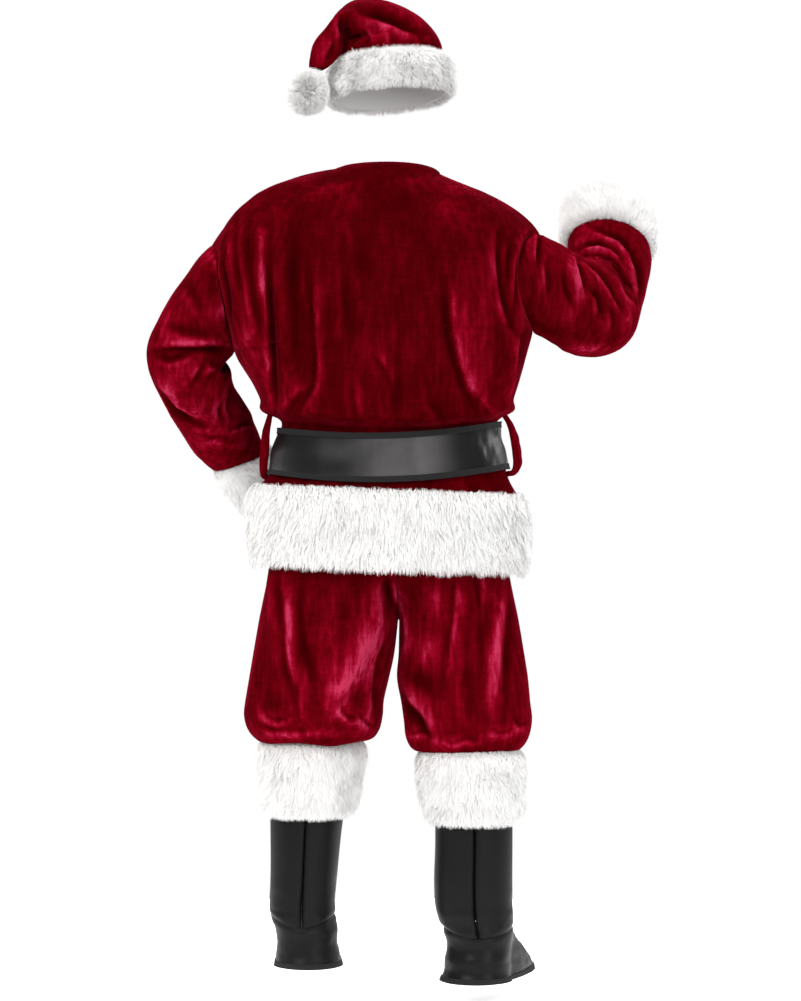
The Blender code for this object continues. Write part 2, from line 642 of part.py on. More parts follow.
def add_wall(name, outer, inner, closed, material):
    """A closed solid between two grids of the same size, joined round their free edges."""
    rows, columns = outer.shape[:2]
    size = rows * columns
    points = np.concatenate([outer.reshape(-1, 3), inner.reshape(-1, 3)])
    faces = sheet_faces(outer, closed, 0, False)
    faces += sheet_faces(outer, closed, size, True)
    last = columns if closed else columns - 1
    for c in range(last):
        n = (c + 1) % columns
        faces.append([n, c, size + c, size + n])
        top = (rows - 1) * columns
        faces.append([top + c, top + n, size + top + n, size + top + c])
    if not closed:
        for r in range(rows - 1):
            low, high = r * columns, (r + 1) * columns
            faces.append([low, high, size + high, size + low])
            low, high = low + columns - 1, high + columns - 1
            faces.append([high, low, size + low, size + high])
    return add_object(name, points, faces, material)


def add_cloth(name, grid, normals, closed, thickness, material, **edges):
    """A cloth wall under a grid of outer points."""
    sharp = 1 - (unit(face_normals(grid, closed)) * normals).sum(axis=-1, keepdims=True)
    gap = SEAM_GAP + SEAM_EASE * sharp
    outer = pulled_in(grid, closed, gap, **edges)
    inner = pulled_in(grid - normals * thickness, closed, gap, **edges)
    return add_wall(name, outer, inner, closed, material)


FUR_PROFILE = ((0.0, 0.22), (0.10, 0.85), (0.50, 1.0), (0.90, 0.85), (1.0, 0.22))


def add_fur(name, first_edge, last_edge, outward, closed, pile, material):
    """A strip of fur between two edge lines, its pile standing outward from its backing."""
    shares = np.array(FUR_PROFILE)[:, 0, None, None]
    depths = np.array(FUR_PROFILE)[:, 1, None, None]
    backing = first_edge[None] + (last_edge - first_edge)[None] * shares
    along = unit(last_edge - first_edge) * SEAM_GAP
    backing[0] += along
    backing[-1] -= along
    outer = backing + outward[None] * pile * depths
    return add_wall(name, outer, backing, closed, material)


def ring_outward(first_edge, last_edge):
    """Directions away from the middle of a closed strip, square to its own line."""
    axis = unit(last_edge.mean(axis=0) - first_edge.mean(axis=0))
    away = first_edge - first_edge.mean(axis=0) + last_edge - last_edge.mean(axis=0)
    return unit(away - (away @ axis)[:, None] * axis)


def material(name, colour, roughness, metallic=0.0):
    """A plain surface of that colour."""
    made = bpy.data.materials.new(name)
    made.use_nodes = True
    shader = made.node_tree.nodes["Principled BSDF"]
    shader.inputs["Base Color"].default_value = (*colour, 1.0)
    shader.inputs["Roughness"].default_value = roughness
    shader.inputs["Metallic"].default_value = metallic
    return made


def plush():
    """Red velvet plush."""
    return material("red_plush", (0.33, 0.0, 0.012), 0.85)


def white_fur():
    """White long-pile fur."""
    return material("white_fur", (0.90, 0.89, 0.86), 0.95)


def black_vinyl():
    """Shiny black vinyl."""
    return material("black_vinyl", (0.010, 0.010, 0.012), 0.35)


def black_tape():
    """Dull black woven tape."""
    return material("black_tape", (0.012, 0.012, 0.013), 0.85)


def plain_metal():
    """Plain grey metal."""
    return material("plain_metal", (0.55, 0.55, 0.56), 0.35, 1.0)


def jacket_grids():
    """Outer points of the jacket's cloth pieces, by name, with the armhole loops."""
    u = np.linspace(-1, 1, BACK_COLUMNS + 1)
    left_u = np.concatenate([u[u < -FRONT_LAP - LAP_SPACE], [-FRONT_LAP, FRONT_LAP]])
    right_u = np.concatenate([[-FRONT_LAP, FRONT_LAP], u[u > FRONT_LAP + LAP_SPACE]])
    grids = {
        "jacket_back": (jacket_panel(u, -1), False),
        "jacket_front_left": (jacket_panel(left_u, 1), False),
        "jacket_front_right": (jacket_panel(right_u, 1), False),
    }
    back = grids["jacket_back"][0]
    for side, name, sections, under in (
        (-1, "left", LEFT_SLEEVE, len(BODY_HEIGHTS)),
        (1, "right", RIGHT_SLEEVE, len(BODY_HEIGHTS) + UNDERARM_ROWS),
    ):
        loop = armhole(back, grids["jacket_front_" + name][0], side, under)
        angles = loop_angles(loop, len(back) - under - 1)
        grids["sleeve_" + name] = (tube_rings(sections, angles, SLEEVE_ROWS, loop, SLEEVE_BLEND), True)
    grids = {name: (turned_out(points, closed), closed) for name, (points, closed) in grids.items()}
    return folded(grids, BACK_FOLDS + SLEEVE_FOLDS, FRONT_FOLDS, BLOUSE_Z)


def halves(name, points):
    """The names and slices of a jacket piece's solids: two where it bends right round a hollow, or else one."""
    if name == "jacket_back":
        middle = points.shape[1] // 2
        ways = ("left", "right") if points[0, 0, 0] < points[0, -1, 0] else ("right", "left")
        return (
            (name + "_" + ways[0], np.s_[:, :middle + 1]),
            (name + "_" + ways[1], np.s_[:, middle:]),
        )
    if name.startswith("sleeve"):
        return (
            (name + "_upper", np.s_[:ELBOW_ROW + 1]),
            (name + "_lower", np.s_[ELBOW_ROW:]),
        )
    return ((name, np.s_[:]),)


def build_jacket():
    """Back, two lapping fronts and two sleeves, with their fur cuffs and hem."""
    grids = jacket_grids()
    normals = shared_normals(grids)
    for name, (points, closed) in grids.items():
        if name.startswith("jacket"):
            normals[name][0] = unit(normals[name][0] * [1, 1, 0])
        if name == "jacket_front_left":
            points = points.copy()
            points[:, :2] += normals[name][:, :2] * (PLUSH + LAYER_GAP)
        for half, part in halves(name, points):
            add_cloth(half, points[part], normals[name][part], closed, PLUSH, plush())
    for side, sections, end, pile in (
        ("left", LEFT_SLEEVE, LEFT_CUFF_END, LEFT_CUFF_PILE),
        ("right", RIGHT_SLEEVE, RIGHT_CUFF_END, RIGHT_CUFF_PILE),
    ):
        first = grids["sleeve_" + side][0][-1]
        centre = first.mean(axis=0)
        last_centre = np.array([(end.ax + end.bx) / 2, end.y, (end.az + end.bz) / 2])
        size = end.half_depth / sections[-1].half_depth
        last = last_centre + (first - centre) * size
        add_fur("cuff_fur_" + side, first, last, ring_outward(first, last), True, pile, white_fur())
    build_hem_fur()


def build_hem_fur():
    """The fur border round the jacket's lower edge, open at the lap of the fronts."""
    u = np.linspace(-1, 1, HEM_COLUMNS // 2 + 1)
    open_u = np.concatenate([[FRONT_LAP + HEM_OPENING], u[u > FRONT_LAP + HEM_OPENING + LAP_SPACE]])
    close_u = np.concatenate([u[u < FRONT_LAP - LAP_SPACE], [FRONT_LAP]])
    line = np.concatenate([
        jacket_line(open_u, 1, HEM_Z),
        jacket_line(u[::-1], -1, HEM_Z)[1:-1],
        jacket_line(close_u, 1, HEM_Z),
    ])
    below = line * [HEM_TAPER, HEM_TAPER, 1] + [0, 0, -HEM_FUR_DROP]
    along = np.gradient(line, axis=0)
    outward = unit(np.stack([-along[:, 1], along[:, 0], np.zeros(len(line))], axis=1))
    if (outward * line).sum() < 0:
        outward = -outward
    add_fur("hem_fur", line, below, outward, False, HEM_PILE, white_fur())


def belt_line(turn, height):
    """Points of the cloth under the belt at these turns round the body, at this height above its middle."""
    phase = turn % 1.0
    side = np.where(phase < 0.5, -1.0, 1.0)
    u = np.where(phase < 0.5, phase * 4 - 1, 3 - phase * 4)
    across = np.sin(u * math.pi / 2)
    z = BELT_MIDDLE_Z + BELT_SLOPE / 4 * across + height
    points = np.zeros((len(turn), 3))
    for face in (-1.0, 1.0):
        mine = side == face
        points[mine] = jacket_line(u[mine], face, z[mine])
    return points


def belt_grid(turn, heights):
    """The cloth under the belt at these turns and heights, with its outward directions."""
    cloth = np.array([belt_line(turn, height) for height in heights])
    step = 0.002
    along = belt_line(turn + step, 0.0) - belt_line(turn - step, 0.0)
    outward = unit(np.stack([along[:, 1], -along[:, 0], np.zeros(len(along))], axis=1))
    return cloth, outward


def build_belt():
    """The vinyl strap, lapped at the front, with tape along both edges and a plain buckle."""
    half = BELT_HEIGHT / 2
    turn = np.linspace(BELT_START, BELT_START + 1 + BELT_LAP, BELT_COLUMNS + 1)
    lapped = eased((turn - BELT_START - 1 + BELT_LAP) / BELT_LAP)
    edge = half - BELT_TAPE_HEIGHT
    for name, heights, start, thick, made in (
        ("belt_strap", (-half, -edge, -edge / 3, edge / 3, edge, half), 0.0, PVC, black_vinyl()),
        ("belt_binding_top", (edge, half), PVC + LAYER_GAP, TAPE, black_tape()),
        ("belt_binding_bottom", (-half, -edge), PVC + LAYER_GAP, TAPE, black_tape()),
    ):
        cloth, outward = belt_grid(turn, heights)
        lift = BELT_CLEARANCE + start + lapped * (PVC + TAPE + 2 * LAYER_GAP)
        inner = cloth + outward * lift[:, None]
        add_wall(name, inner + outward * thick, inner, False, made)
    build_buckle()


def build_buckle():
    """A plain frame lying on the lapped ends of the strap."""
    wide = BUCKLE_WIDTH / 2 / BELT_ROUND
    tall = BUCKLE_HEIGHT / 2
    across = np.array([-1, -0.5, 0, 0.5, 1, 1, 1, 0.5, 0, -0.5, -1, -1])
    up = np.array([-1, -1, -1, -1, -1, 0, 1, 1, 1, 1, 1, 0])
    rings = []
    for bar in (0.0, BUCKLE_BAR):
        turn = BELT_START + BELT_LAP / 2 + across * (wide - bar / BELT_ROUND)
        ring = []
        for place, height in zip(turn, up * (tall - bar)):
            cloth, outward = belt_grid(np.array([place]), [height])
            lift = BELT_CLEARANCE + 2 * PVC + 2 * TAPE + 4 * LAYER_GAP
            ring.append(cloth[0, 0] + outward[0] * lift)
        rings.append(ring)
    back = np.array(rings)
    outward = np.array([0.0, 1.0, 0.0])
    add_wall("belt_buckle", back + outward * BUCKLE_THICK, back, True, plain_metal())


def build_belt_loops():
    """A strip of plush over the belt at each side seam."""
    for side, name, arch in ((-1, "belt_loop_left", LEFT_BELT_LOOP), (1, "belt_loop_right", RIGHT_BELT_LOOP)):
        arch = np.array(arch)
        middle = np.stack([arch[:, 0], np.full(len(arch), LOOP_Y), arch[:, 1]], axis=1)
        middle = through(np.linspace(0, 1, len(arch)), middle, np.linspace(0, 1, LOOP_ROWS + 1))
        along = unit(np.gradient(middle, axis=0))
        outward = np.stack([-along[:, 2], np.zeros(len(along)), along[:, 0]], axis=1)
        outward *= np.sign(outward[:, :1]) * side
        angle = np.linspace(0, 2 * math.pi, LOOP_COLUMNS, endpoint=False)
        wide = np.sign(np.cos(angle)) * np.abs(np.cos(angle)) ** LOOP_ROUND * LOOP_WIDTH / 2
        thick = np.sign(np.sin(angle)) * np.abs(np.sin(angle)) ** LOOP_ROUND * LOOP_THICK / 2
        rings = middle[:, None] + outward[:, None] * thick[None, :, None]
        rings[..., 1] += wide[None, :]
        twist = LOOP_TWIST * np.sin(math.pi * np.linspace(0, 1, len(middle)))
        rings[..., 0] += side * twist[:, None] * wide[None, :]
        add_bar(name, rings, plush())


def add_bar(name, rings, material):
    """A solid bar through the rings, with flat ends."""
    rows, columns = rings.shape[:2]
    faces = sheet_faces(rings, True, 0, False)
    faces.append(list(range(columns))[::-1])
    faces.append([(rows - 1) * columns + i for i in range(columns)])
    return add_object(name, rings.reshape(-1, 3), faces, material)


def build_breeches():
    """Four leg panels and the waistband."""
    names = (
        ("leg_back_left", -1, -1),
        ("leg_front_left", -1, 1),
        ("leg_back_right", 1, -1),
        ("leg_front_right", 1, 1),
    )
    grids = {name: (turned_out(breeches_panel(side, face), False), False) for name, side, face in names}
    grids = folded(grids, SEAT_FOLDS, FRONT_FOLDS)
    normals = shared_normals(grids)
    for name, (points, closed) in grids.items():
        add_cloth(name, points, normals[name], closed, PLUSH, plush())
    top = HIP_LEVELS[-1]
    angle = np.linspace(0, 2 * math.pi, WAIST_COLUMNS, endpoint=False)
    x = (top.left + top.right) / 2 + (top.right - top.left) / 2 * np.cos(angle)
    y = np.where(np.sin(angle) < 0, top.back, top.front) * np.sin(angle)
    rings = np.array([np.stack([x, y, np.full(len(x), z)], axis=1) for z in (WAIST_Z, WAIST_Z + WAISTBAND_HEIGHT)])
    waist = {"waistband": (turned_out(rings, True), True)}
    rings = waist["waistband"][0]
    add_cloth("waistband", rings, shared_normals(waist)["waistband"], True, PLUSH, plush())


def boot_rings(table, y, angle, shares):
    """Rings of a boot cover at these shares of the way down its table."""
    rows = through(np.linspace(0, 1, len(table)), np.array(table, float), shares)
    rings = []
    for z, dip, x, half_width, back, front, toe_out in rows:
        away = np.where(np.sin(angle) < 0, back, front) * np.sin(angle)
        ring_x = x + half_width * np.cos(angle) + toe_out * np.maximum(away, 0)
        low = dip * np.maximum(-np.sin(angle), 0) ** 2
        rings.append(np.stack([ring_x, y + away, z - low], axis=1))
    return np.array(rings)


def build_boot_cover(side, shaft_table, foot_table, fur_top, y):
    """Shaft with a seam down its back, foot panel, bottom tape and fur cuff."""
    strip = np.linspace(-math.pi / 2, 1.5 * math.pi, BOOT_COLUMNS + 1)
    ring = strip[:-1]
    shaft = boot_rings(shaft_table, y, strip, np.linspace(0, 1, SHAFT_ROWS + 1))
    foot = boot_rings(foot_table, y, ring, FOOT_SHARES)
    grids = {
        "boot_shaft_" + side: (turned_out(shaft, False), False),
        "boot_foot_" + side: (turned_out(foot, True), True),
    }
    normals = shared_normals(grids)
    shaft, foot = [grids[name][0].copy() for name in grids]
    shaft_out, foot_out = [normals[name] for name in grids]
    shaft[:, (0, -1)] -= shaft_out[:, (0, -1)] * SEAM_GROOVE
    add_cloth("boot_shaft_" + side, shaft, shaft_out, False, PVC, black_vinyl())
    add_cloth("boot_foot_" + side, foot, foot_out, True, PVC, black_vinyl(), ends=(True, False))
    inner = foot[-2:] + foot_out[-2:] * LAYER_GAP
    add_wall("boot_tape_" + side, inner + foot_out[-2:] * TAPE, inner, True, black_tape())
    low = boot_rings(shaft_table, y, ring, [0.0])[0]
    top = boot_rings((fur_top, fur_top), y, ring, [0.0])[0]
    add_fur("boot_fur_" + side, low, top, ring_outward(low, top), True, BOOT_PILE, white_fur())


def band_ring(angle, height, size):
    """The hat band's backing at these angles and this height above its middle."""
    x = BAND_HALF_WIDTH * size * np.cos(angle)
    y = BAND_HALF_DEPTH * size * np.sin(angle)
    z = height + BAND_SIDE_TILT * x - BAND_BACK_TILT * y
    return np.stack([x, y, z], axis=1) + BAND_CENTRE


def build_hat():
    """Crown with its tail, fur band and pompom."""
    angle = np.linspace(0, 2 * math.pi, HAT_COLUMNS, endpoint=False)
    low = band_ring(math.pi + angle, -BAND_HEIGHT / 2, 1.0)
    top = band_ring(math.pi + angle, BAND_HEIGHT / 2, BAND_TAPER)
    crown = {"hat_crown": (turned_out(tube_rings(HAT_SECTIONS, angle, HAT_ROWS, top, HAT_BLEND), True), True)}
    normals = shared_normals(crown)
    add_cloth("hat_crown", crown["hat_crown"][0], normals["hat_crown"], True, PLUSH, plush())
    add_fur("hat_band_fur", low, top, ring_outward(low, top), True, BAND_PILE, white_fur())
    mesh = bpy.data.meshes.new("hat_pompom")
    shape = bmesh.new()
    bmesh.ops.create_icosphere(shape, subdivisions=3, radius=POMPOM_RADIUS)
    bmesh.ops.translate(shape, verts=shape.verts, vec=POMPOM_CENTRE)
    shape.to_mesh(mesh)
    shape.free()
    mesh.materials.append(white_fur())
    mesh.shade_smooth()
    made = bpy.data.objects.new("hat_pompom", mesh)
    bpy.context.scene.collection.objects.link(made)


def main():
    for old in list(bpy.data.objects):
        bpy.data.objects.remove(old)
    build_jacket()
    build_belt()
    build_belt_loops()
    build_breeches()
    build_boot_cover("left", LEFT_SHAFT, LEFT_FOOT, LEFT_BOOT_FUR_TOP, LEFT_BOOT_Y)
    build_boot_cover("right", RIGHT_SHAFT, RIGHT_FOOT, RIGHT_BOOT_FUR_TOP, RIGHT_BOOT_Y)
    build_hat()


main()
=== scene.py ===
"""The look of the santa suit: plush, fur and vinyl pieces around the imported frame.

Metres, in the frame of the CAD: +Z up, the back of the suit faces -Y, the wearer's left is -X.
The surfaces come from the same named sections as the solids, with a finer grid and smaller folds.
"""

import itertools
import math
from collections import namedtuple

import bmesh
import bpy
import numpy as np
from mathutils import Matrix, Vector, kdtree


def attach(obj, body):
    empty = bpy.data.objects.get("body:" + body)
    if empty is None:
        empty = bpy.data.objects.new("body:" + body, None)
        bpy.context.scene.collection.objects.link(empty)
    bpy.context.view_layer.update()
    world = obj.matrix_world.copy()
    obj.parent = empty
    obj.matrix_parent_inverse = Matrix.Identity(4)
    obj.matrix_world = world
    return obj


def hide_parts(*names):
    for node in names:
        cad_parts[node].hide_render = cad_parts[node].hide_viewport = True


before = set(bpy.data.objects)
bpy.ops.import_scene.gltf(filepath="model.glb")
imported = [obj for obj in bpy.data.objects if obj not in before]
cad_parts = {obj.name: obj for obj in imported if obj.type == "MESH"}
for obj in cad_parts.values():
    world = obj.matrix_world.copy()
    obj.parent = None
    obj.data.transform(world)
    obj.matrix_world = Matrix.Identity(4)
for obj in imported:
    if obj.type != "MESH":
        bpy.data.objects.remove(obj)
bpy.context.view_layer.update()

# Camera and picture
CAMERA = (0.0194, -6.0, -0.61)
LENS = 116.6
PIXEL = 0.00185
PICTURE_X = 390
PICTURE_Y = 170
FLOOR_Z = -1.530
FLOOR_RADIUS = 1.5

# Cloth squares for each square of the solids, and for each square of the fur backings
FINE = 6
FUR_ROWS = 16
SEAM_DIP = 0.0016
SEAM_WIDTH = 0.0045
SEAT_OVERLAP = 0.0022
SQUARED = 0.90
SQUARED_FROM = 0.55
TAIL_EASE = 0.006
LOOP_FULLNESS = 1.7
SEAM_LIP = 0.0010

# Grooves and crumples, by place and width
BOOT_SEAM_WIDTH = 0.005
BOOT_LIP_AT = 0.010
BOOT_LIP_WIDTH = 0.004
CRUMPLE_X = 0.190
CRUMPLE_WIDTH = 0.04
FUR_TUCK = 0.003
FUR_SINK = 0.0045
# A highlight painted on the belt's middle: its centre across, where it starts to fade and where it is gone
PAINTED_HIGHLIGHT_X = 0.018
PAINTED_HIGHLIGHT_FROM = 0.030
PAINTED_HIGHLIGHT_TO = 0.115

# Cloth and trim
PLUSH = 0.0026
PVC = 0.0016
TAPE = 0.0012
LAYER_GAP = 0.0006
LEFT_CUFF_PILE = 0.015
RIGHT_CUFF_PILE = 0.016
HEM_PILE = 0.021
HEM_TAPER = 1.0
HEM_OPENING = 0.020
HEM_COLUMNS = 36

# Jacket heights
HEM_Z = -0.596
LEFT_UNDERARM_Z = -0.337
RIGHT_UNDERARM_Z = -0.300
CHEST_Z = -0.200
BLOUSE_Z = -0.464
ARMHOLE_HALF_DEPTH = 0.085
FRONT_LAP = 0.085
HEM_SLOPE = 0.0375
HEM_FUR_DROP = 0.134
BODY_FULLNESS = 0.85
SLOPE_FADE = 0.045
SAG_RISE = 0.030
SAG_TOP_Z = -0.340
SAG_FADE = 0.100

# Grid sizes of the solids
BACK_COLUMNS = 26
NECK_COLUMNS = 6
BODY_HEIGHTS = (-0.596, -0.574, -0.546, -0.516, -0.488, -0.464, -0.446, -0.424, -0.398, -0.368)
UNDERARM_ROWS = 2
ARMHOLE_ROWS = 3
SHOULDER_ROWS = 5
SLEEVE_ROWS = 15
LEG_COLUMNS = 8
SEAT_ROWS = 8
BOOT_COLUMNS = 18
HAT_COLUMNS = 20
HAT_ROWS = 12
# Rings lie closer where a tube turns, as if a full turn were this much longer
TURN_LENGTH = 0.050
# How far down a tube its rings have left the shape of its first ring
SLEEVE_BLEND = 0.45
HAT_BLEND = 0.30

Level = namedtuple("Level", "z left right back front")
JACKET_LEVELS = (
    Level(z=-0.596, left=-0.246, right=0.240, back=0.172, front=0.196),
    Level(z=-0.570, left=-0.224, right=0.221, back=0.160, front=0.186),
    Level(z=-0.520, left=-0.2135, right=0.2085, back=0.153, front=0.182),
    Level(z=-0.475, left=-0.2010, right=0.1975, back=0.148, front=0.177),
    Level(z=-0.461, left=-0.2030, right=0.1995, back=0.150, front=0.178),
    Level(z=-0.446, left=-0.2360, right=0.2280, back=0.180, front=0.193),
    Level(z=-0.424, left=-0.2400, right=0.2290, back=0.189, front=0.195),
    Level(z=-0.400, left=-0.251, right=0.236, back=0.194, front=0.196),
    Level(z=-0.337, left=-0.287, right=0.254, back=0.200, front=0.190),
    Level(z=-0.300, left=-0.293, right=0.264, back=0.200, front=0.184),
    Level(z=-0.200, left=-0.313, right=0.270, back=0.186, front=0.164),
)

Point = namedtuple("Point", "x y z")
LEFT_SHOULDER = (
    Point(-0.094, 0.000, 0.002),
    Point(-0.154, 0.000, -0.008),
    Point(-0.209, 0.000, -0.028),
    Point(-0.252, 0.000, -0.053),
    Point(-0.290, 0.000, -0.087),
    Point(-0.331, 0.000, -0.137),
)
RIGHT_SHOULDER = (
    Point(0.094, 0.000, -0.006),
    Point(0.131, 0.002, -0.022),
    Point(0.192, 0.006, -0.047),
    Point(0.233, 0.010, -0.070),
    Point(0.261, 0.012, -0.093),
    Point(0.279, 0.014, -0.115),
)
NECK_BACK = Point(-0.004, -0.072, 0.010)
NECK_FRONT = Point(0.000, 0.086, -0.058)
# How far the raised arm pulls the right armhole round: its back edge goes in, its front edge out
RIGHT_ARMHOLE_TURN = 0.036

# A sleeve section: its two side points as seen from behind, its depth place and half its depth
Section = namedtuple("Section", "ax az bx bz y half_depth")
LEFT_SLEEVE = (
    Section(-0.331, -0.137, -0.287, -0.337, 0.000, 0.085),
    Section(-0.377, -0.181, -0.2885, -0.3445, -0.005, 0.086),
    Section(-0.413, -0.235, -0.290, -0.3525, -0.006, 0.084),
    Section(-0.443, -0.292, -0.292, -0.3620, -0.001, 0.081),
    Section(-0.454, -0.332, -0.2935, -0.3730, 0.010, 0.078),
    Section(-0.444, -0.374, -0.294, -0.3880, 0.028, 0.075),
    Section(-0.422, -0.426, -0.288, -0.4100, 0.056, 0.073),
    Section(-0.392, -0.482, -0.270, -0.438, 0.094, 0.069),
    Section(-0.358, -0.536, -0.251, -0.478, 0.136, 0.063),
    Section(-0.323, -0.568, -0.240, -0.516, 0.172, 0.054),
)
RIGHT_SLEEVE = (
    Section(0.279, -0.115, 0.264, -0.300, 0.014, 0.085),
    Section(0.307, -0.132, 0.302, -0.315, 0.034, 0.086),
    Section(0.334, -0.147, 0.350, -0.335, 0.080, 0.086),
    Section(0.350, -0.156, 0.400, -0.338, 0.122, 0.085),
    Section(0.355, -0.156, 0.444, -0.312, 0.156, 0.083),
    Section(0.354, -0.149, 0.477, -0.240, 0.184, 0.080),
    Section(0.347, -0.131, 0.494, -0.186, 0.210, 0.078),
    Section(0.341, -0.104, 0.499, -0.137, 0.242, 0.076),
)
# The far end of each cuff's backing
LEFT_CUFF_END = Section(-0.268, -0.632, -0.204, -0.574, 0.240, 0.056)
RIGHT_CUFF_END = Section(0.343, -0.030, 0.497, -0.062, 0.296, 0.072)

# Breeches, as sections of the hips above the crotch and of one leg below it
CROTCH_Z = -0.832
SEAT_Z = -0.660
SEAT_FULLNESS = 0.62
SEAT_TO_LEG = 1.8
WAIST_Z = -0.520
WAISTBAND_HEIGHT = 0.036
WAIST_COLUMNS = 28
Hip = namedtuple("Hip", "z left right back front middle")
HIP_LEVELS = (
    Hip(z=-1.000, left=-0.270, right=0.260, back=0.130, front=0.125, middle=0.016),
    Hip(z=-0.892, left=-0.254, right=0.248, back=0.136, front=0.128, middle=0.016),
    Hip(z=-0.832, left=-0.243, right=0.238, back=0.142, front=0.132, middle=0.016),
    Hip(z=-0.750, left=-0.226, right=0.221, back=0.146, front=0.136, middle=0.008),
    Hip(z=-0.640, left=-0.206, right=0.200, back=0.138, front=0.140, middle=0.002),
    Hip(z=-0.520, left=-0.176, right=0.172, back=0.118, front=0.138, middle=0.000),
)
# Below the crotch: outer and inner side of the leg, depth place, half depths behind and in front
Leg = namedtuple("Leg", "z outer inner y back front")
LEFT_LEG = (
    Leg(-0.832, -0.243, 0.0154, 0.000, 0.142, 0.132),
    Leg(-0.892, -0.2535, 0.0085, 0.004, 0.134, 0.128),
    Leg(-0.936, -0.261, -0.001, 0.008, 0.130, 0.126),
    Leg(-0.980, -0.268, -0.011, 0.012, 0.128, 0.126),
    Leg(-1.008, -0.270, -0.013, 0.015, 0.126, 0.125),
    Leg(-1.034, -0.262, -0.019, 0.018, 0.118, 0.118),
    Leg(-1.052, -0.246, -0.033, 0.020, 0.102, 0.102),
    Leg(-1.0575, -0.229, -0.060, 0.022, 0.083, 0.083),
    Leg(-1.050, -0.219, -0.078, 0.024, 0.070, 0.070),
    Leg(-1.038, -0.218, -0.086, 0.026, 0.066, 0.066),
)
RIGHT_LEG = (
    Leg(-0.832, 0.238, 0.0166, 0.000, 0.142, 0.132),
    Leg(-0.892, 0.248, 0.0155, -0.004, 0.134, 0.128),
    Leg(-0.936, 0.255, 0.0125, -0.008, 0.130, 0.126),
    Leg(-0.980, 0.259, 0.020, -0.012, 0.128, 0.126),
    Leg(-1.014, 0.2625, 0.025, -0.015, 0.126, 0.125),
    Leg(-1.046, 0.256, 0.029, -0.018, 0.118, 0.118),
    Leg(-1.066, 0.242, 0.040, -0.020, 0.102, 0.102),
    Leg(-1.0715, 0.226, 0.060, -0.022, 0.083, 0.083),
    Leg(-1.064, 0.217, 0.078, -0.024, 0.070, 0.070),
    Leg(-1.052, 0.214, 0.085, -0.026, 0.066, 0.066),
)

# Boot covers, as rings from the fur's lower edge down. Dip is how much lower the ring lies at the back,
# toe_out how far it is sheared outward for each metre forward
Ring = namedtuple("Ring", "z dip x half_width back front toe_out")
LEFT_SHAFT = (
    Ring(-1.190, 0.000, -0.1545, 0.0690, 0.070, 0.076, 0.0),
    Ring(-1.235, 0.002, -0.1570, 0.0655, 0.068, 0.074, 0.0),
    Ring(-1.300, 0.008, -0.1600, 0.0622, 0.065, 0.070, 0.0),
    Ring(-1.350, 0.014, -0.1630, 0.0605, 0.062, 0.068, 0.0),
    Ring(-1.378, 0.020, -0.1625, 0.0612, 0.062, 0.076, 0.0),
)
LEFT_FOOT = (
    Ring(-1.378, 0.020, -0.1625, 0.0612, 0.062, 0.076, 0.0),
    Ring(-1.402, 0.012, -0.1555, 0.0570, 0.061, 0.100, 0.0),
    Ring(-1.425, 0.006, -0.1535, 0.0565, 0.062, 0.140, 0.0),
    Ring(-1.447, 0.002, -0.1530, 0.0575, 0.064, 0.176, 0.0),
    Ring(-1.463, 0.000, -0.1525, 0.0600, 0.068, 0.190, 0.0),
    Ring(-1.4735, 0.000, -0.1520, 0.0630, 0.071, 0.196, 0.0),
)
RIGHT_SHAFT = (
    Ring(-1.198, 0.000, 0.1545, 0.0710, 0.072, 0.078, 0.0),
    Ring(-1.245, 0.002, 0.1545, 0.0713, 0.071, 0.077, 0.0),
    Ring(-1.310, 0.006, 0.1535, 0.0720, 0.069, 0.074, 0.0),
    Ring(-1.360, 0.010, 0.1555, 0.0705, 0.066, 0.072, 0.04),
    Ring(-1.394, 0.016, 0.1620, 0.0650, 0.065, 0.080, 0.12),
)
RIGHT_FOOT = (
    Ring(-1.394, 0.016, 0.1620, 0.0650, 0.065, 0.080, 0.12),
    Ring(-1.418, 0.010, 0.1650, 0.0605, 0.064, 0.104, 0.30),
    Ring(-1.442, 0.005, 0.1640, 0.0600, 0.065, 0.142, 0.42),
    Ring(-1.466, 0.002, 0.1610, 0.0610, 0.067, 0.172, 0.48),
    Ring(-1.482, 0.000, 0.1590, 0.0635, 0.070, 0.182, 0.50),
    Ring(-1.4925, 0.000, 0.1580, 0.0660, 0.073, 0.186, 0.50),
)
LEFT_BOOT_FUR_TOP = Ring(-1.0579, 0.000, -0.1450, 0.0820, 0.082, 0.086, 0.0)
RIGHT_BOOT_FUR_TOP = Ring(-1.0718, 0.000, 0.1480, 0.0790, 0.080, 0.084, 0.0)
LEFT_BOOT_Y = 0.030
RIGHT_BOOT_Y = -0.030
BOOT_PILE = 0.027
SEAM_GROOVE = 0.0035
FOOT_SHARES = (0.0, 0.2, 0.4, 0.6, 0.76, 0.88, 1.0)

# Belt
BELT_HEIGHT = 0.090
BELT_MIDDLE_Z = -0.513
BELT_SAG = 0.019
BELT_SLOPE = 0.024
BELT_COLUMNS = 44
BELT_TAPE_HEIGHT = 0.011
BELT_CLEARANCE = 0.0053
BELT_LAP = 0.045
BELT_START = 0.7275
BELT_ROUND = 1.19
BUCKLE_WIDTH = 0.104
BUCKLE_HEIGHT = 0.102
BUCKLE_BAR = 0.013
BUCKLE_THICK = 0.005

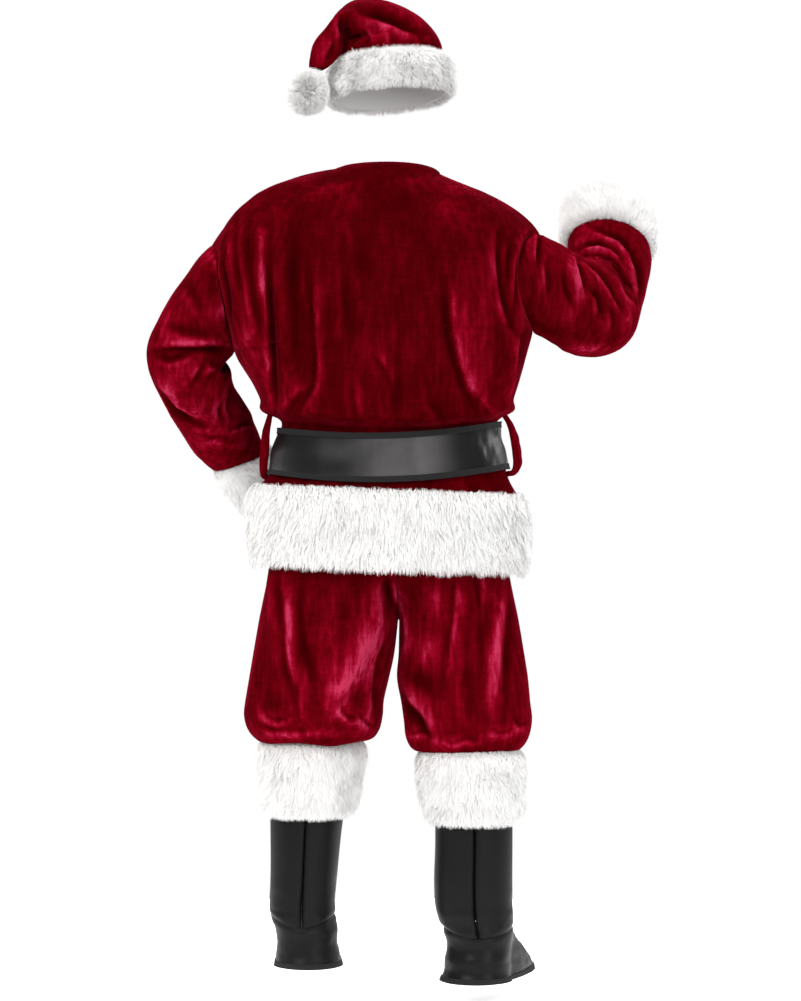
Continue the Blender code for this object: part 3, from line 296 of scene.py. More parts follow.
# Belt loops: the middle of the strip beside the belt, going down
Arch = namedtuple("Arch", "x z")
RIGHT_BELT_LOOP = (
    Arch(0.2148, -0.4553),
    Arch(0.2215, -0.4660),
    Arch(0.2275, -0.4810),
    Arch(0.2325, -0.5000),
    Arch(0.2360, -0.5200),
    Arch(0.2372, -0.5380),
    Arch(0.2345, -0.5520),
    Arch(0.2275, -0.5602),
    Arch(0.2190, -0.5616),
)
LEFT_BELT_LOOP = (
    Arch(-0.2232, -0.4545),
    Arch(-0.2262, -0.4650),
    Arch(-0.2300, -0.4800),
    Arch(-0.2320, -0.5000),
    Arch(-0.2335, -0.5200),
    Arch(-0.2345, -0.5400),
    Arch(-0.2350, -0.5560),
    Arch(-0.2335, -0.5650),
    Arch(-0.2281, -0.5696),
)
LOOP_THICK = 0.006
LOOP_TWIST = 0.5
LOOP_WIDTH = 0.024
LOOP_Y = -0.012
LOOP_ROUND = 0.6

# Hat: sections from the band's top edge over the fold to the tip
HAT_SECTIONS = (
    Section(0.099, 0.203, -0.104, 0.190, 0.010, 0.110),
    Section(0.092, 0.228, -0.100, 0.206, 0.008, 0.106),
    Section(0.077, 0.255, -0.095, 0.220, 0.002, 0.098),
    Section(0.048, 0.288, -0.090, 0.234, -0.006, 0.086),
    Section(0.000, 0.309, -0.087, 0.243, -0.018, 0.072),
    Section(-0.047, 0.308, -0.0860, 0.2490, -0.033, 0.055),
    Section(-0.089, 0.290, -0.0880, 0.2530, -0.047, 0.037),
    Section(-0.121, 0.253, -0.0925, 0.2370, -0.060, 0.028),
    Section(-0.143, 0.220, -0.0925, 0.2140, -0.070, 0.024),
    Section(-0.1475, 0.194, -0.1060, 0.1920, -0.076, 0.018),
    Section(-0.1480, 0.1740, -0.1260, 0.1760, -0.079, 0.011),
)
BAND_CENTRE = Point(0.000, 0.012, 0.168)
BAND_HALF_WIDTH = 0.103
BAND_HALF_DEPTH = 0.114
BAND_HEIGHT = 0.058
BAND_SIDE_TILT = 0.080
BAND_BACK_TILT = 0.090
BAND_PILE = 0.018
BAND_TAPER = 0.965
POMPOM_CENTRE = Point(-0.1500, -0.080, 0.1355)
POMPOM_RADIUS = 0.038

# The largest folds, as lines seen from behind (x, z), with their depth (positive is a trough) and half width
Fold = namedtuple("Fold", "x0 z0 x1 z1 depth width")
FOLD_END = 0.55
FOLD_FACING = 1.6
FOLD_FADE = 0.018
BACK_FOLDS = (
    Fold(-0.226, -0.100, -0.213, -0.455, 0.012, 0.016),
    Fold(-0.246, -0.090, -0.250, -0.300, -0.008, 0.014),
    Fold(-0.143, -0.190, -0.137, -0.410, -0.009, 0.016),
    Fold(-0.160, -0.300, -0.160, -0.455, 0.008, 0.014),
    Fold(-0.030, -0.320, -0.004, -0.390, 0.006, 0.014),
    Fold(0.104, -0.220, 0.128, -0.390, 0.010, 0.018),
    Fold(0.128, -0.390, 0.172, -0.458, 0.012, 0.016),
    Fold(0.194, -0.130, 0.205, -0.300, 0.012, 0.016),
    Fold(0.232, -0.330, 0.222, -0.440, -0.007, 0.012),
    Fold(0.060, -0.400, 0.066, -0.460, -0.008, 0.016),
    Fold(-0.080, -0.410, -0.094, -0.460, -0.008, 0.016),
)
SLEEVE_FOLDS = (
    Fold(-0.425, -0.330, -0.345, -0.336, -0.007, 0.014),
    Fold(-0.420, -0.352, -0.350, -0.356, 0.006, 0.012),
    Fold(-0.445, -0.375, -0.330, -0.455, -0.008, 0.014),
    Fold(-0.310, -0.375, -0.345, -0.420, 0.006, 0.012),
    Fold(-0.250, -0.455, -0.315, -0.480, 0.006, 0.012),
    Fold(0.352, -0.175, 0.372, -0.300, 0.006, 0.014),
    Fold(0.368, -0.166, 0.440, -0.275, 0.006, 0.014),
    Fold(0.372, -0.142, 0.462, -0.205, 0.006, 0.013),
    Fold(0.290, -0.180, 0.300, -0.250, 0.007, 0.014),
)
SEAT_FOLDS = (
    Fold(-0.212, -0.740, -0.196, -0.930, -0.007, 0.015),
    Fold(-0.050, -0.850, -0.100, -0.980, -0.008, 0.024),
    Fold(-0.040, -0.740, -0.024, -0.830, -0.006, 0.016),
    Fold(0.148, -0.740, 0.140, -0.900, -0.006, 0.014),
    Fold(0.198, -0.740, 0.186, -0.980, -0.008, 0.016),
    Fold(0.016, -0.830, 0.044, -0.950, -0.005, 0.014),
    Fold(-0.155, -0.970, -0.140, -1.040, -0.005, 0.014),
    Fold(0.060, -0.980, 0.050, -1.045, 0.005, 0.012),
)
# Similar folds on the side that does not show
FRONT_FOLDS = (
    Fold(-0.200, -0.140, -0.170, -0.440, 0.010, 0.018),
    Fold(-0.110, -0.260, -0.105, -0.455, 0.007, 0.015),
    Fold(0.190, -0.150, 0.150, -0.430, 0.010, 0.018),
    Fold(0.100, -0.300, 0.098, -0.455, 0.007, 0.015),
    Fold(-0.180, -0.740, -0.165, -0.960, -0.007, 0.018),
    Fold(0.160, -0.740, 0.170, -0.960, -0.007, 0.018),
    Fold(-0.070, -0.880, -0.110, -1.000, -0.006, 0.020),
    Fold(0.080, -0.880, 0.110, -1.000, -0.006, 0.020),
)


def through(stations, values, at):
    """Reads a smooth curve through the values, one row for each station, at the places asked for."""
    stations = np.asarray(stations, float)
    values = np.asarray(values, float)
    at = np.atleast_1d(np.asarray(at, float))
    slopes = np.gradient(values, stations, axis=0)
    low = np.clip(np.searchsorted(stations, at, side="right") - 1, 0, len(stations) - 2)
    span = stations[low + 1] - stations[low]
    t = np.clip((at - stations[low]) / span, 0.0, 1.0)
    shape = (-1,) + (1,) * (values.ndim - 1)
    t = t.reshape(shape)
    span = span.reshape(shape)
    start = (2 * t**3 - 3 * t**2 + 1) * values[low] + (t**3 - 2 * t**2 + t) * span * slopes[low]
    end = (3 * t**2 - 2 * t**3) * values[low + 1] + (t**3 - t**2) * span * slopes[low + 1]
    return start + end


def eased(value):
    """0 to 1 with a soft start and end."""
    value = np.clip(value, 0.0, 1.0)
    return value * value * (3 - 2 * value)


def unit(vectors):
    """The vectors at length 1."""
    return vectors / np.maximum(np.linalg.norm(vectors, axis=-1, keepdims=True), 1e-12)


def columns_of(levels):
    """A table's rows as an array, lowest height first."""
    return np.array(sorted(levels), float)


def row_heights():
    """Heights of the jacket's rows up to the chest, with one on each underarm."""
    under = np.linspace(LEFT_UNDERARM_Z, RIGHT_UNDERARM_Z, UNDERARM_ROWS + 1)
    turn = np.linspace(0, math.pi / 2, ARMHOLE_ROWS + 1)[1:]
    arm = CHEST_Z - (CHEST_Z - RIGHT_UNDERARM_Z) * np.cos(turn)
    return np.concatenate([BODY_HEIGHTS, under, arm])


def armhole_depth(heights, underarm):
    """Half the depth of the armhole at each height, from nothing at the underarm."""
    part = np.clip((CHEST_Z - heights) / (CHEST_Z - underarm), 0.0, 1.0)
    return ARMHOLE_HALF_DEPTH * np.sqrt(1 - part**2)


def belt_shift(x):
    """How far the belt sags below its side height at each place across the body."""
    return -BELT_SAG * (1 - np.clip(x / JACKET_LEVELS[2].right, -1, 1) ** 2)


def jacket_line(u, side, z):
    """Points of the jacket below the underarms at the angles u and height z, one z or one for each."""
    table = columns_of(JACKET_LEVELS)
    share = (np.sin(u * math.pi / 2) + 1) / 2
    z = np.zeros(len(u)) + z
    levels = through(table[:, 0], table[:, 1:], z)
    x = levels[:, 0] + (levels[:, 1] - levels[:, 0]) * share
    holes = [armhole_depth(z, LEFT_UNDERARM_Z), armhole_depth(z, RIGHT_UNDERARM_Z)]
    turn = RIGHT_ARMHOLE_TURN * (holes[1] / ARMHOLE_HALF_DEPTH) ** 2
    x = x + (-turn if side < 0 else turn / 4) * share
    edge = holes[0] + (holes[1] - holes[0]) * share
    depth = levels[:, 2] if side < 0 else levels[:, 3]
    y = edge + (depth - edge) * np.cos(u * math.pi / 2) ** BODY_FULLNESS
    slope = HEM_SLOPE * (1 - eased((z - HEM_Z) / SLOPE_FADE))
    belt = eased((z - HEM_Z) / SAG_RISE) * eased((SAG_TOP_Z - z) / SAG_FADE)
    return np.stack([x, side * y, z - slope * x + belt_shift(x) * belt], axis=1)


def top_edge(u, side):
    """The shoulder seams and the neckline, at u from -1, the left armhole, to 1, the right one."""
    neck = NECK_COLUMNS / BACK_COLUMNS
    points = np.zeros((len(u), 3))
    for i, place in enumerate(u):
        line = np.array(LEFT_SHOULDER if place < 0 else RIGHT_SHOULDER)
        if abs(place) > neck - 1e-6:
            along = (abs(place) - neck) / (1 - neck)
            points[i] = through(np.linspace(0, 1, len(line)), line, along)[0]
            continue
        middle = np.array(NECK_BACK if side < 0 else NECK_FRONT)
        angle = abs(place) / neck * math.pi / 2
        points[i] = middle + (line[0] - middle) * [math.sin(angle), 0, 0]
        points[i, 1:] = line[0][1:] + (middle - line[0])[1:] * math.cos(angle)
    return points


def jacket_panel(u, side):
    """Outer points of the jacket at the angles u, on side -1, the back, or 1, the front. Rows run upward."""
    rows = [jacket_line(u, side, z) for z in finer(row_heights())]
    chest = rows[-1]
    top = top_edge(u, side)
    for turn in np.linspace(0, math.pi / 2, SHOULDER_ROWS * FINE + 1)[1:]:
        rise, reach = math.sin(turn), math.cos(turn)
        row = top + (chest - top) * reach
        row[:, 0] = chest[:, 0] + (top[:, 0] - chest[:, 0]) * (1 - reach)
        row[:, 2] = chest[:, 2] + (top[:, 2] - chest[:, 2]) * rise
        rows.append(row)
    return np.array(rows)


def armhole(back, front, side, underarm_row):
    """The armhole as one loop: from the underarm up the back panel's edge and down the front panel's."""
    column = 0 if side < 0 else -1
    up = back[underarm_row:, column]
    down = front[underarm_row:, column][::-1][1:-1]
    return np.concatenate([up, down])


def tube_rings(sections, angles, count, loop, blend):
    """Rings of a bent tube through the sections, at these angles round it. The first is the given loop."""
    table = np.array(sections, float)
    near = table[:, 0:2]
    far = table[:, 2:4]
    middle = (near + far) / 2
    centre = np.stack([middle[:, 0], table[:, 4], middle[:, 1]], axis=1)
    across = (near - far) / 2
    across = np.stack([across[:, 0], np.zeros(len(table)), across[:, 1]], axis=1)
    along = np.concatenate([[0], np.cumsum(np.linalg.norm(np.diff(centre, axis=0), axis=1))])
    turned = np.linalg.norm(np.diff(unit(across), axis=0), axis=1)
    along = along + np.concatenate([[0], np.cumsum(turned)]) * TURN_LENGTH
    at = np.linspace(0, along[-1], count + 1)
    centre = through(along, centre, at)
    across = through(along, across, at)
    depth = through(along, table[:, 5], at)
    tangent = unit(np.gradient(centre, axis=0))
    sideways = unit(np.cross(across, tangent))
    sideways *= np.where(sideways[:, 1:2] > 0, -1, 1)
    rings = []
    even = np.linspace(0, 2 * math.pi, len(angles), endpoint=False)
    for i in range(count + 1):
        share = eased(at[i] / along[-1] / blend)
        turn = angles + (even - angles) * share
        ring = centre[i] - np.cos(turn)[:, None] * across[i]
        ring = ring + np.sin(turn)[:, None] * depth[i] * sideways[i]
        carried = loop + centre[i] - centre[0]
        rings.append(carried + (ring - carried) * share)
    return np.array(rings)


def loop_angles(loop, top):
    """The angle round the sleeve of each point of the armhole, by its share of the way up and down."""
    closed = np.concatenate([loop, loop[:1]])
    along = np.concatenate([[0], np.cumsum(np.linalg.norm(np.diff(closed, axis=0), axis=1))])
    up = along[: top + 1] / along[top] * math.pi
    down = math.pi + (along[top + 1 : -1] - along[top]) / (along[-1] - along[top]) * math.pi
    return np.concatenate([up, down])


def breeches_panel(side, face):
    """Outer points of one breeches panel, from the outer side seam in to the middle seam or inseam."""
    given = np.array(LEFT_LEG if side < 0 else RIGHT_LEG, float)
    share = np.linspace(0, 1, LEG_COLUMNS * FINE * 2 + 1)
    made = []
    for z in np.linspace(WAIST_Z, CROTCH_Z, SEAT_ROWS * FINE + 1)[:-1]:
        hips = columns_of(HIP_LEVELS)
        left, right, back, front, middle = through(hips[:, 0], hips[:, 1:], z)[0]
        outer = left if side < 0 else right
        depth = back if face < 0 else front
        seat = np.clip((SEAT_Z - z) / (SEAT_Z - CROTCH_Z), 0, 1)
        leg = seat**SEAT_TO_LEG
        hip_x = middle + (outer - middle) * np.cos(share * math.pi / 2)
        hip_y = face * depth * np.sin(share * math.pi / 2) ** SEAT_FULLNESS
        inner = (LEFT_LEG[0].inner + RIGHT_LEG[0].inner) / 2 - side * SEAT_OVERLAP
        leg_x = (outer + inner) / 2 + (outer - inner) / 2 * np.cos(share * math.pi)
        leg_y = face * depth * np.sin(share * math.pi)
        x = hip_x + (leg_x - hip_x) * leg
        y = hip_y + (leg_y - hip_y) * leg
        made.append(np.stack([x, y, np.full(len(share), z)], axis=1))
    along = np.linspace(0, 1, len(given))
    for z, outer, inner, y, back, front in through(along, given, finer(along)):
        depth = back if face < 0 else front
        angle = share * math.pi
        x = (outer + inner) / 2 + (outer - inner) / 2 * np.cos(angle)
        made.append(np.stack([x, y + face * depth * np.sin(angle), np.full(len(share), z)], axis=1))
    return np.array(made)


def face_normals(grid, closed):
    """Normals of a grid's points, summed over the faces round each."""
    wrapped = np.concatenate([grid, grid[:, :1]], axis=1) if closed else grid
    a, b = wrapped[:-1, :-1], wrapped[:-1, 1:]
    c, d = wrapped[1:, 1:], wrapped[1:, :-1]
    normal = np.cross(c - a, d - b)
    total = np.zeros_like(wrapped)
    for rows, cols in ((0, 0), (0, 1), (1, 1), (1, 0)):
        total[rows : rows + len(normal), cols : cols + normal.shape[1]] += normal
    if closed:
        total[:, 0] += total[:, -1]
        total = total[:, :-1]
    return total


def shared_normals(grids):
    """Normals of several grids, (points, closed) by name, with one normal where their points coincide."""
    sums = {}
    summed = {name: face_normals(points, closed) for name, (points, closed) in grids.items()}
    keys = {name: np.floor(points / 1e-5 + 0.237).astype(np.int64) for name, (points, _) in grids.items()}
    for name, normals in summed.items():
        for key, normal in zip(keys[name].reshape(-1, 3), normals.reshape(-1, 3)):
            sums[tuple(key)] = sums.get(tuple(key), 0) + normal
    shared = {}
    for name, normals in summed.items():
        flat = [sums[tuple(key)] for key in keys[name].reshape(-1, 3)]
        shared[name] = unit(np.array(flat).reshape(normals.shape))
    return shared


def fold_depth(points, folds):
    """How far each point sinks in at these folds, from its distance to their lines as seen from behind."""
    sunk = np.zeros(points.shape[:-1])
    for fold in folds:
        start = np.array([fold.x0, fold.z0])
        line = np.array([fold.x1, fold.z1]) - start
        offset = points[..., (0, 2)] - start
        share = np.clip(offset @ line / (line @ line), 0, 1)
        away = np.linalg.norm(offset - share[..., None] * line, axis=-1)
        fade = FOLD_END + (1 - FOLD_END) * np.sin(share * math.pi)
        sunk += fold.depth * fade * np.exp(-((away / fold.width) ** 2))
    return sunk


def folded(grids, back_folds, front_folds, lowest=-2.0):
    """The grids with the folds pressed into the side that each of them faces, above the lowest height."""
    normals = shared_normals(grids)
    pressed = {}
    for name, (points, closed) in grids.items():
        toward_back = eased(-normals[name][..., 1:2] * FOLD_FACING)
        toward_front = eased(normals[name][..., 1:2] * FOLD_FACING)
        sunk = fold_depth(points, back_folds)[..., None] * toward_back
        sunk = sunk + fold_depth(points, front_folds)[..., None] * toward_front
        above = eased((points[..., 2:] - belt_shift(points[..., :1]) - lowest) / FOLD_FADE)
        pressed[name] = (points - normals[name] * sunk * above, closed)
    return pressed


def turned_out(grid, closed):
    """The grid with its columns in the order that makes its normals point outward."""
    from_middle = grid - grid.mean(axis=1, keepdims=True)
    outward = (face_normals(grid, closed) * from_middle).sum()
    return grid if outward > 0 else grid[:, ::-1]


def ring_outward(first_edge, last_edge):
    """Directions away from the middle of a closed strip, square to its own line."""
    axis = unit(last_edge.mean(axis=0) - first_edge.mean(axis=0))
    away = first_edge - first_edge.mean(axis=0) + last_edge - last_edge.mean(axis=0)
    return unit(away - (away @ axis)[:, None] * axis)


def belt_line(turn, height):
    """Points of the cloth under the belt at these turns round the body, at this height above its middle."""
    phase = turn % 1.0
    side = np.where(phase < 0.5, -1.0, 1.0)
    u = np.where(phase < 0.5, phase * 4 - 1, 3 - phase * 4)
    across = np.sin(u * math.pi / 2)
    z = BELT_MIDDLE_Z + BELT_SLOPE / 4 * across + height
    points = np.zeros((len(turn), 3))
    for face in (-1.0, 1.0):
        mine = side == face
        points[mine] = jacket_line(u[mine], face, z[mine])
    return points


def belt_grid(turn, heights):
    """The cloth under the belt at these turns and heights, with its outward directions."""
    cloth = np.array([belt_line(turn, height) for height in heights])
    step = 0.002
    along = belt_line(turn + step, 0.0) - belt_line(turn - step, 0.0)
    outward = unit(np.stack([along[:, 1], -along[:, 0], np.zeros(len(along))], axis=1))
    return cloth, outward


def boot_rings(table, y, angle, shares):
    """Rings of a boot cover at these shares of the way down its table."""
    rows = through(np.linspace(0, 1, len(table)), np.array(table, float), shares)
    rings = []
    for z, dip, x, half_width, back, front, toe_out in rows:
        away = np.where(np.sin(angle) < 0, back, front) * np.sin(angle)
        ring_x = x + half_width * np.cos(angle) + toe_out * np.maximum(away, 0)
        low = dip * np.maximum(-np.sin(angle), 0) ** 2
        rings.append(np.stack([ring_x, y + away, z - low], axis=1))
    return np.array(rings)


def band_ring(angle, height, size):
    """The hat band's backing at these angles and this height above its middle."""
    x = BAND_HALF_WIDTH * size * np.cos(angle)
    y = BAND_HALF_DEPTH * size * np.sin(angle)
    z = height + BAND_SIDE_TILT * x - BAND_BACK_TILT * y
    return np.stack([x, y, z], axis=1) + BAND_CENTRE


# Creases as the camera sees them: depth in mm (negative is a ridge; a trough is also painted darker), half width in
# pixels of the picture, shine (the painted highlight: how much lighter the colour is painted on one flank, on the left
# where positive), and the line in pixels
Crease = namedtuple("Crease", "depth width shine line")
BACK_CREASES = (
    Crease(7, 3.2, 0.50, ((267, 236), (266, 258), (268, 282), (270, 310), (272, 345), (274, 380),
           (277, 420))),
    Crease(-4, 6, 0.12, ((258, 215), (259, 245), (262, 275), (266, 300))),
    Crease(4, 7, 0.0, ((290, 238), (290, 290), (296, 340), (300, 375))),
    Crease(5, 3.0, -0.42, ((311, 262), (311, 300), (313, 335), (315, 360), (313, 385), (302, 405),
           (297, 418))),
    Crease(2.5, 2.2, 0.10, ((306, 250), (306, 275), (306, 300))),
    Crease(5, 5, 0.18, ((249, 212), (246, 240), (250, 268), (254, 300), (262, 330), (270, 352))),
    Crease(4, 4, 0.18, ((236, 218), (234, 245), (238, 275), (244, 305))),
    Crease(3, 4, 0.15, ((226, 229), (222, 244), (224, 262))),
    Crease(-3, 6, 0.16, ((240, 318), (248, 345), (258, 372), (266, 398))),
    Crease(6, 4, -0.50, ((443, 276), (447, 305), (450, 335), (456, 362), (466, 390), (482, 418))),
    Crease(4, 2.6, -0.40, ((470, 388), (480, 402), (494, 419))),
    Crease(7, 3.6, 0.55, ((499, 232), (498, 256), (500, 282), (504, 302), (510, 322), (516, 334))),
    Crease(4, 4, 0.15, ((512, 236), (508, 262), (509, 292))),
    Crease(5, 3.0, 0.45, ((521, 334), (520, 358), (518, 382), (514, 408))),
    Crease(3, 2.6, -0.30, ((373, 354), (383, 366), (388, 376), (391, 390))),
    Crease(4, 6, 0.0, ((395, 366), (397, 390), (397, 422))),
    Crease(3, 4, -0.18, ((351, 382), (352, 402), (356, 420))),
    Crease(3, 5, 0.12, ((428, 398), (438, 410), (446, 424))),
    Crease(2, 7, 0.08, ((357, 215), (361, 250), (368, 300))),
    Crease(2.5, 6, 0.10, ((344, 250), (347, 300), (352, 350))),
    Crease(2.5, 9, 0.0, ((300, 190), (292, 240), (296, 300))),
    Crease(-3, 9, 0.08, ((430, 190), (452, 210), (470, 240))),
    Crease(3, 6, 0.15, ((300, 188), (330, 178), (350, 176))),
    Crease(3.5, 4, -0.22, ((285, 420), (290, 405), (301, 394), (312, 388))),
    Crease(2.5, 5, 0.10, ((345, 484), (350, 497))),
    Crease(2.5, 4, 0.10, ((300, 484), (297, 494))),
    Crease(2.5, 5, 0.10, ((420, 484), (424, 497))),
    Crease(2.5, 5, 0.10, ((470, 484), (478, 497))),
)
LEFT_SLEEVE_CREASES = (
    Crease(10, 3.6, 0.30, ((232, 349), (214, 348), (190, 349), (170, 349), (155, 350))),
    Crease(6, 3.2, 0.15, ((156, 355), (168, 360), (180, 357), (194, 351))),
    Crease(5, 2.8, 0.22, ((207, 354), (202, 368), (192, 386))),
    Crease(7, 3.6, 0.0, ((209, 362), (218, 366), (228, 362))),
    Crease(4, 2.6, 0.15, ((231, 361), (222, 369), (212, 372), (205, 384))),
    Crease(9, 4.2, -0.34, ((148, 372), (158, 391), (174, 410), (196, 422), (210, 424))),
    Crease(5, 3.0, 0.22, ((158, 392), (170, 412), (184, 434), (198, 456))),
    Crease(5, 3.0, 0.30, ((231, 382), (230, 396), (229, 408), (233, 420))),
    Crease(5, 3.2, 0.10, ((226, 398), (220, 408), (222, 424))),
    Crease(6, 3.0, 0.25, ((232, 434), (240, 428), (250, 423), (260, 418))),
    Crease(4, 3.0, 0.20, ((238, 396), (244, 408), (254, 414))),
    Crease(6, 3.0, 0.32, ((213, 247), (222, 266), (227, 288), (229, 315), (228, 330))),
    Crease(4, 5, 0.10, ((184, 278), (196, 300), (206, 318))),
    Crease(4, 5, 0.12, ((160, 322), (184, 331), (214, 336))),
    Crease(3, 6, 0.10, ((195, 258), (186, 276), (172, 300))),
    Crease(4, 4, 0.15, ((204, 446), (222, 440), (236, 448))),
)
RIGHT_SLEEVE_CREASES = (
    Crease(5, 2.6, 0.35, ((535, 222), (525, 240), (518, 262), (516, 284), (513.5, 318))),
    Crease(7, 2.6, 0.50, ((540, 229), (539.5, 245), (539, 264))),
    Crease(4, 3.5, 0.35, ((548, 262), (549, 280), (549, 296))),
    Crease(6, 3.0, -0.10, ((563, 268), (567, 288), (574, 308))),
    Crease(-5, 4, 0.0, ((566, 250), (573, 268), (579, 288), (583, 304))),
    Crease(7, 2.4, 0.45, ((577, 258), (581, 276), (585, 291))),
    Crease(7, 3.2, 0.15, ((590, 288), (599, 297), (603, 318))),
    Crease(6, 2.4, 0.45, ((577, 257), (588, 261), (600, 271), (611, 288), (619, 304), (625, 314))),
    Crease(5, 2.2, 0.35, ((580, 256), (597, 254), (612, 259), (622, 270), (628, 286))),
    Crease(8, 2.6, 0.30, ((578, 251), (585, 245), (598, 242.5), (611, 246), (620, 253), (627, 265))),
    Crease(-4, 2.6, 0.20, ((576, 248), (579, 241), (584, 236))),
    Crease(8, 3.2, 0.50, ((588, 224), (603, 231), (620, 238), (632, 251), (639, 270), (641, 290),
           (637, 304))),
    Crease(5, 2.4, 0.40, ((620, 276), (627, 292), (636, 302))),
    Crease(-4, 3, 0.15, ((626, 300), (628, 318), (625, 334))),
    Crease(4, 3.5, 0.15, ((610, 306), (614, 320), (612, 332))),
    Crease(-4, 5, 0.15, ((562, 342), (580, 349), (604, 348))),
    Crease(3, 6, 0.10, ((528, 322), (548, 331), (566, 336))),
)
LEG_CREASES = (
    Crease(-5, 3.2, 0.0, ((283.5, 572), (287, 607), (288.5, 640), (292.5, 667), (300, 687), (303, 716))),
    Crease(5, 4, 0.0, ((276, 574), (279, 607), (281, 640), (284, 667), (291, 690), (295, 712))),
    Crease(5, 5, 0.0, ((296, 580), (298, 615), (302, 645), (312, 675), (316, 700))),
    Crease(-7, 11, 0.10, ((377, 580), (379, 612), (374, 634), (362, 658), (346, 682), (330, 706))),
    Crease(5, 5, -0.12, ((388, 576), (389, 600), (388, 618))),
    Crease(5, 3, 0.30, ((388, 634), (378, 658), (374, 690), (376, 724))),
    Crease(3, 7, 0.0, ((345, 590), (340, 620), (346, 648))),
    Crease(-3, 2, 0.10, ((274, 574), (272, 600), (270, 622))),
    Crease(4, 9, 0.0, ((352, 705), (358, 700), (366, 690))),
    Crease(6, 3, -0.60, ((386, 574), (392, 596), (400, 618), (402, 639), (396, 656), (397, 680))),
    Crease(8, 5, -0.55, ((397, 680), (404, 702), (418, 718), (427, 737))),
    Crease(5, 3, -0.35, ((454, 570), (453, 600), (450, 626), (448, 646), (448, 664))),
    Crease(4, 3, -0.35, ((476, 574), (479, 590), (480, 606))),
    Crease(-6, 5, 0.15, ((504, 577), (500, 611), (496, 640), (494, 679), (492, 712))),
    Crease(6, 5, 0.0, ((513, 580), (510, 615), (507, 650), (505, 690))),
    Crease(4, 6, 0.0, ((486, 612), (483, 650), (481, 690))),
    Crease(5, 9, 0.0, ((408, 672), (420, 682), (432, 692))),
    Crease(3, 6, 0.10, ((470, 640), (468, 680), (470, 715))),
    Crease(-3, 4, 0.10, ((518, 612), (525, 650), (529, 700))),
    Crease(5, 2.4, 0.45, ((262, 708), (267, 716), (276, 720), (286, 718))),
    Crease(5, 2.4, 0.45, ((341, 702), (344, 712), (352, 719), (362, 718))),
    Crease(5, 2.4, 0.40, ((360, 714), (367, 722), (375, 728))),
    Crease(4, 2.4, 0.35, ((255, 722), (270, 729), (290, 731), (315, 731))),
    Crease(5, 2.4, 0.45, ((405, 726), (412, 733), (421, 730), (430, 736))),
    Crease(4, 2.4, 0.45, ((484, 733), (494, 730), (503, 733), (513, 729))),
    Crease(4, 2.4, 0.35, ((440, 738), (452, 743), (466, 738), (478, 740))),
    Crease(4, 2.4, 0.35, ((514, 718), (520, 725), (527, 724))),
)
HAT_CREASES = (
    Crease(9, 4.6, 0.42, ((362, 11), (376, 15), (392, 20), (408, 27), (422, 33))),
    Crease(-3, 4, 0.0, ((366, 3), (390, 7), (412, 16), (430, 32))),
    Crease(6, 2.6, 0.40, ((342, 15), (340, 24), (343, 34), (342, 43))),
    Crease(6, 3.0, 0.0, ((349, 42), (356, 38), (363, 34))),
    Crease(4, 2.4, -0.35, ((363, 30), (368, 36), (369, 45))),
    Crease(3, 3, 0.15, ((388, 28), (393, 38), (391, 47))),
    Crease(4, 3, 0.20, ((336, 40), (330, 52), (326, 62))),
    Crease(2.5, 4, 0.15, ((418, 36), (424, 44), (426, 50))),
)
# The hidden front, with the places as the camera would see them through the suit
FRONT_CREASES = (
    Crease(5, 6, 0.20, ((280, 230), (292, 300), (300, 400), (303, 425))),
    Crease(4, 5, 0.20, ((310, 300), (318, 360), (322, 422))),
    Crease(4, 7, 0.10, ((246, 220), (250, 290), (262, 360))),
    Crease(5, 6, -0.20, ((502, 240), (492, 310), (480, 400), (474, 425))),
    Crease(4, 5, -0.20, ((455, 330), (449, 380), (446, 424))),
    Crease(3, 6, 0.10, ((410, 350), (414, 400), (418, 425))),
    Crease(3, 6, 0.10, ((360, 360), (356, 400), (350, 425))),
    Crease(-4, 8, 0.10, ((335, 190), (318, 230), (316, 280))),
    Crease(-4, 8, 0.10, ((440, 195), (456, 240), (458, 290))),
    Crease(4, 6, 0.25, ((292, 590), (300, 650), (304, 705))),
    Crease(4, 6, 0.15, ((340, 590), (330, 640), (338, 700))),
    Crease(4, 6, -0.25, ((492, 590), (484, 650), (480, 705))),
    Crease(4, 6, 0.15, ((440, 590), (450, 640), (446, 700))),
    Crease(-5, 9, 0.15, ((375, 640), (350, 680), (330, 715))),
    Crease(-5, 9, 0.15, ((410, 640), (432, 680), (452, 720))),
    Crease(3, 3, 0.2, ((270, 712), (282, 718), (296, 714))),
    Crease(3, 3, 0.2, ((330, 716), (344, 710), (360, 716))),
    Crease(3, 3, 0.2, ((425, 730), (440, 726), (456, 732))),
    Crease(3, 3, 0.2, ((484, 730), (498, 734), (512, 728))),
)
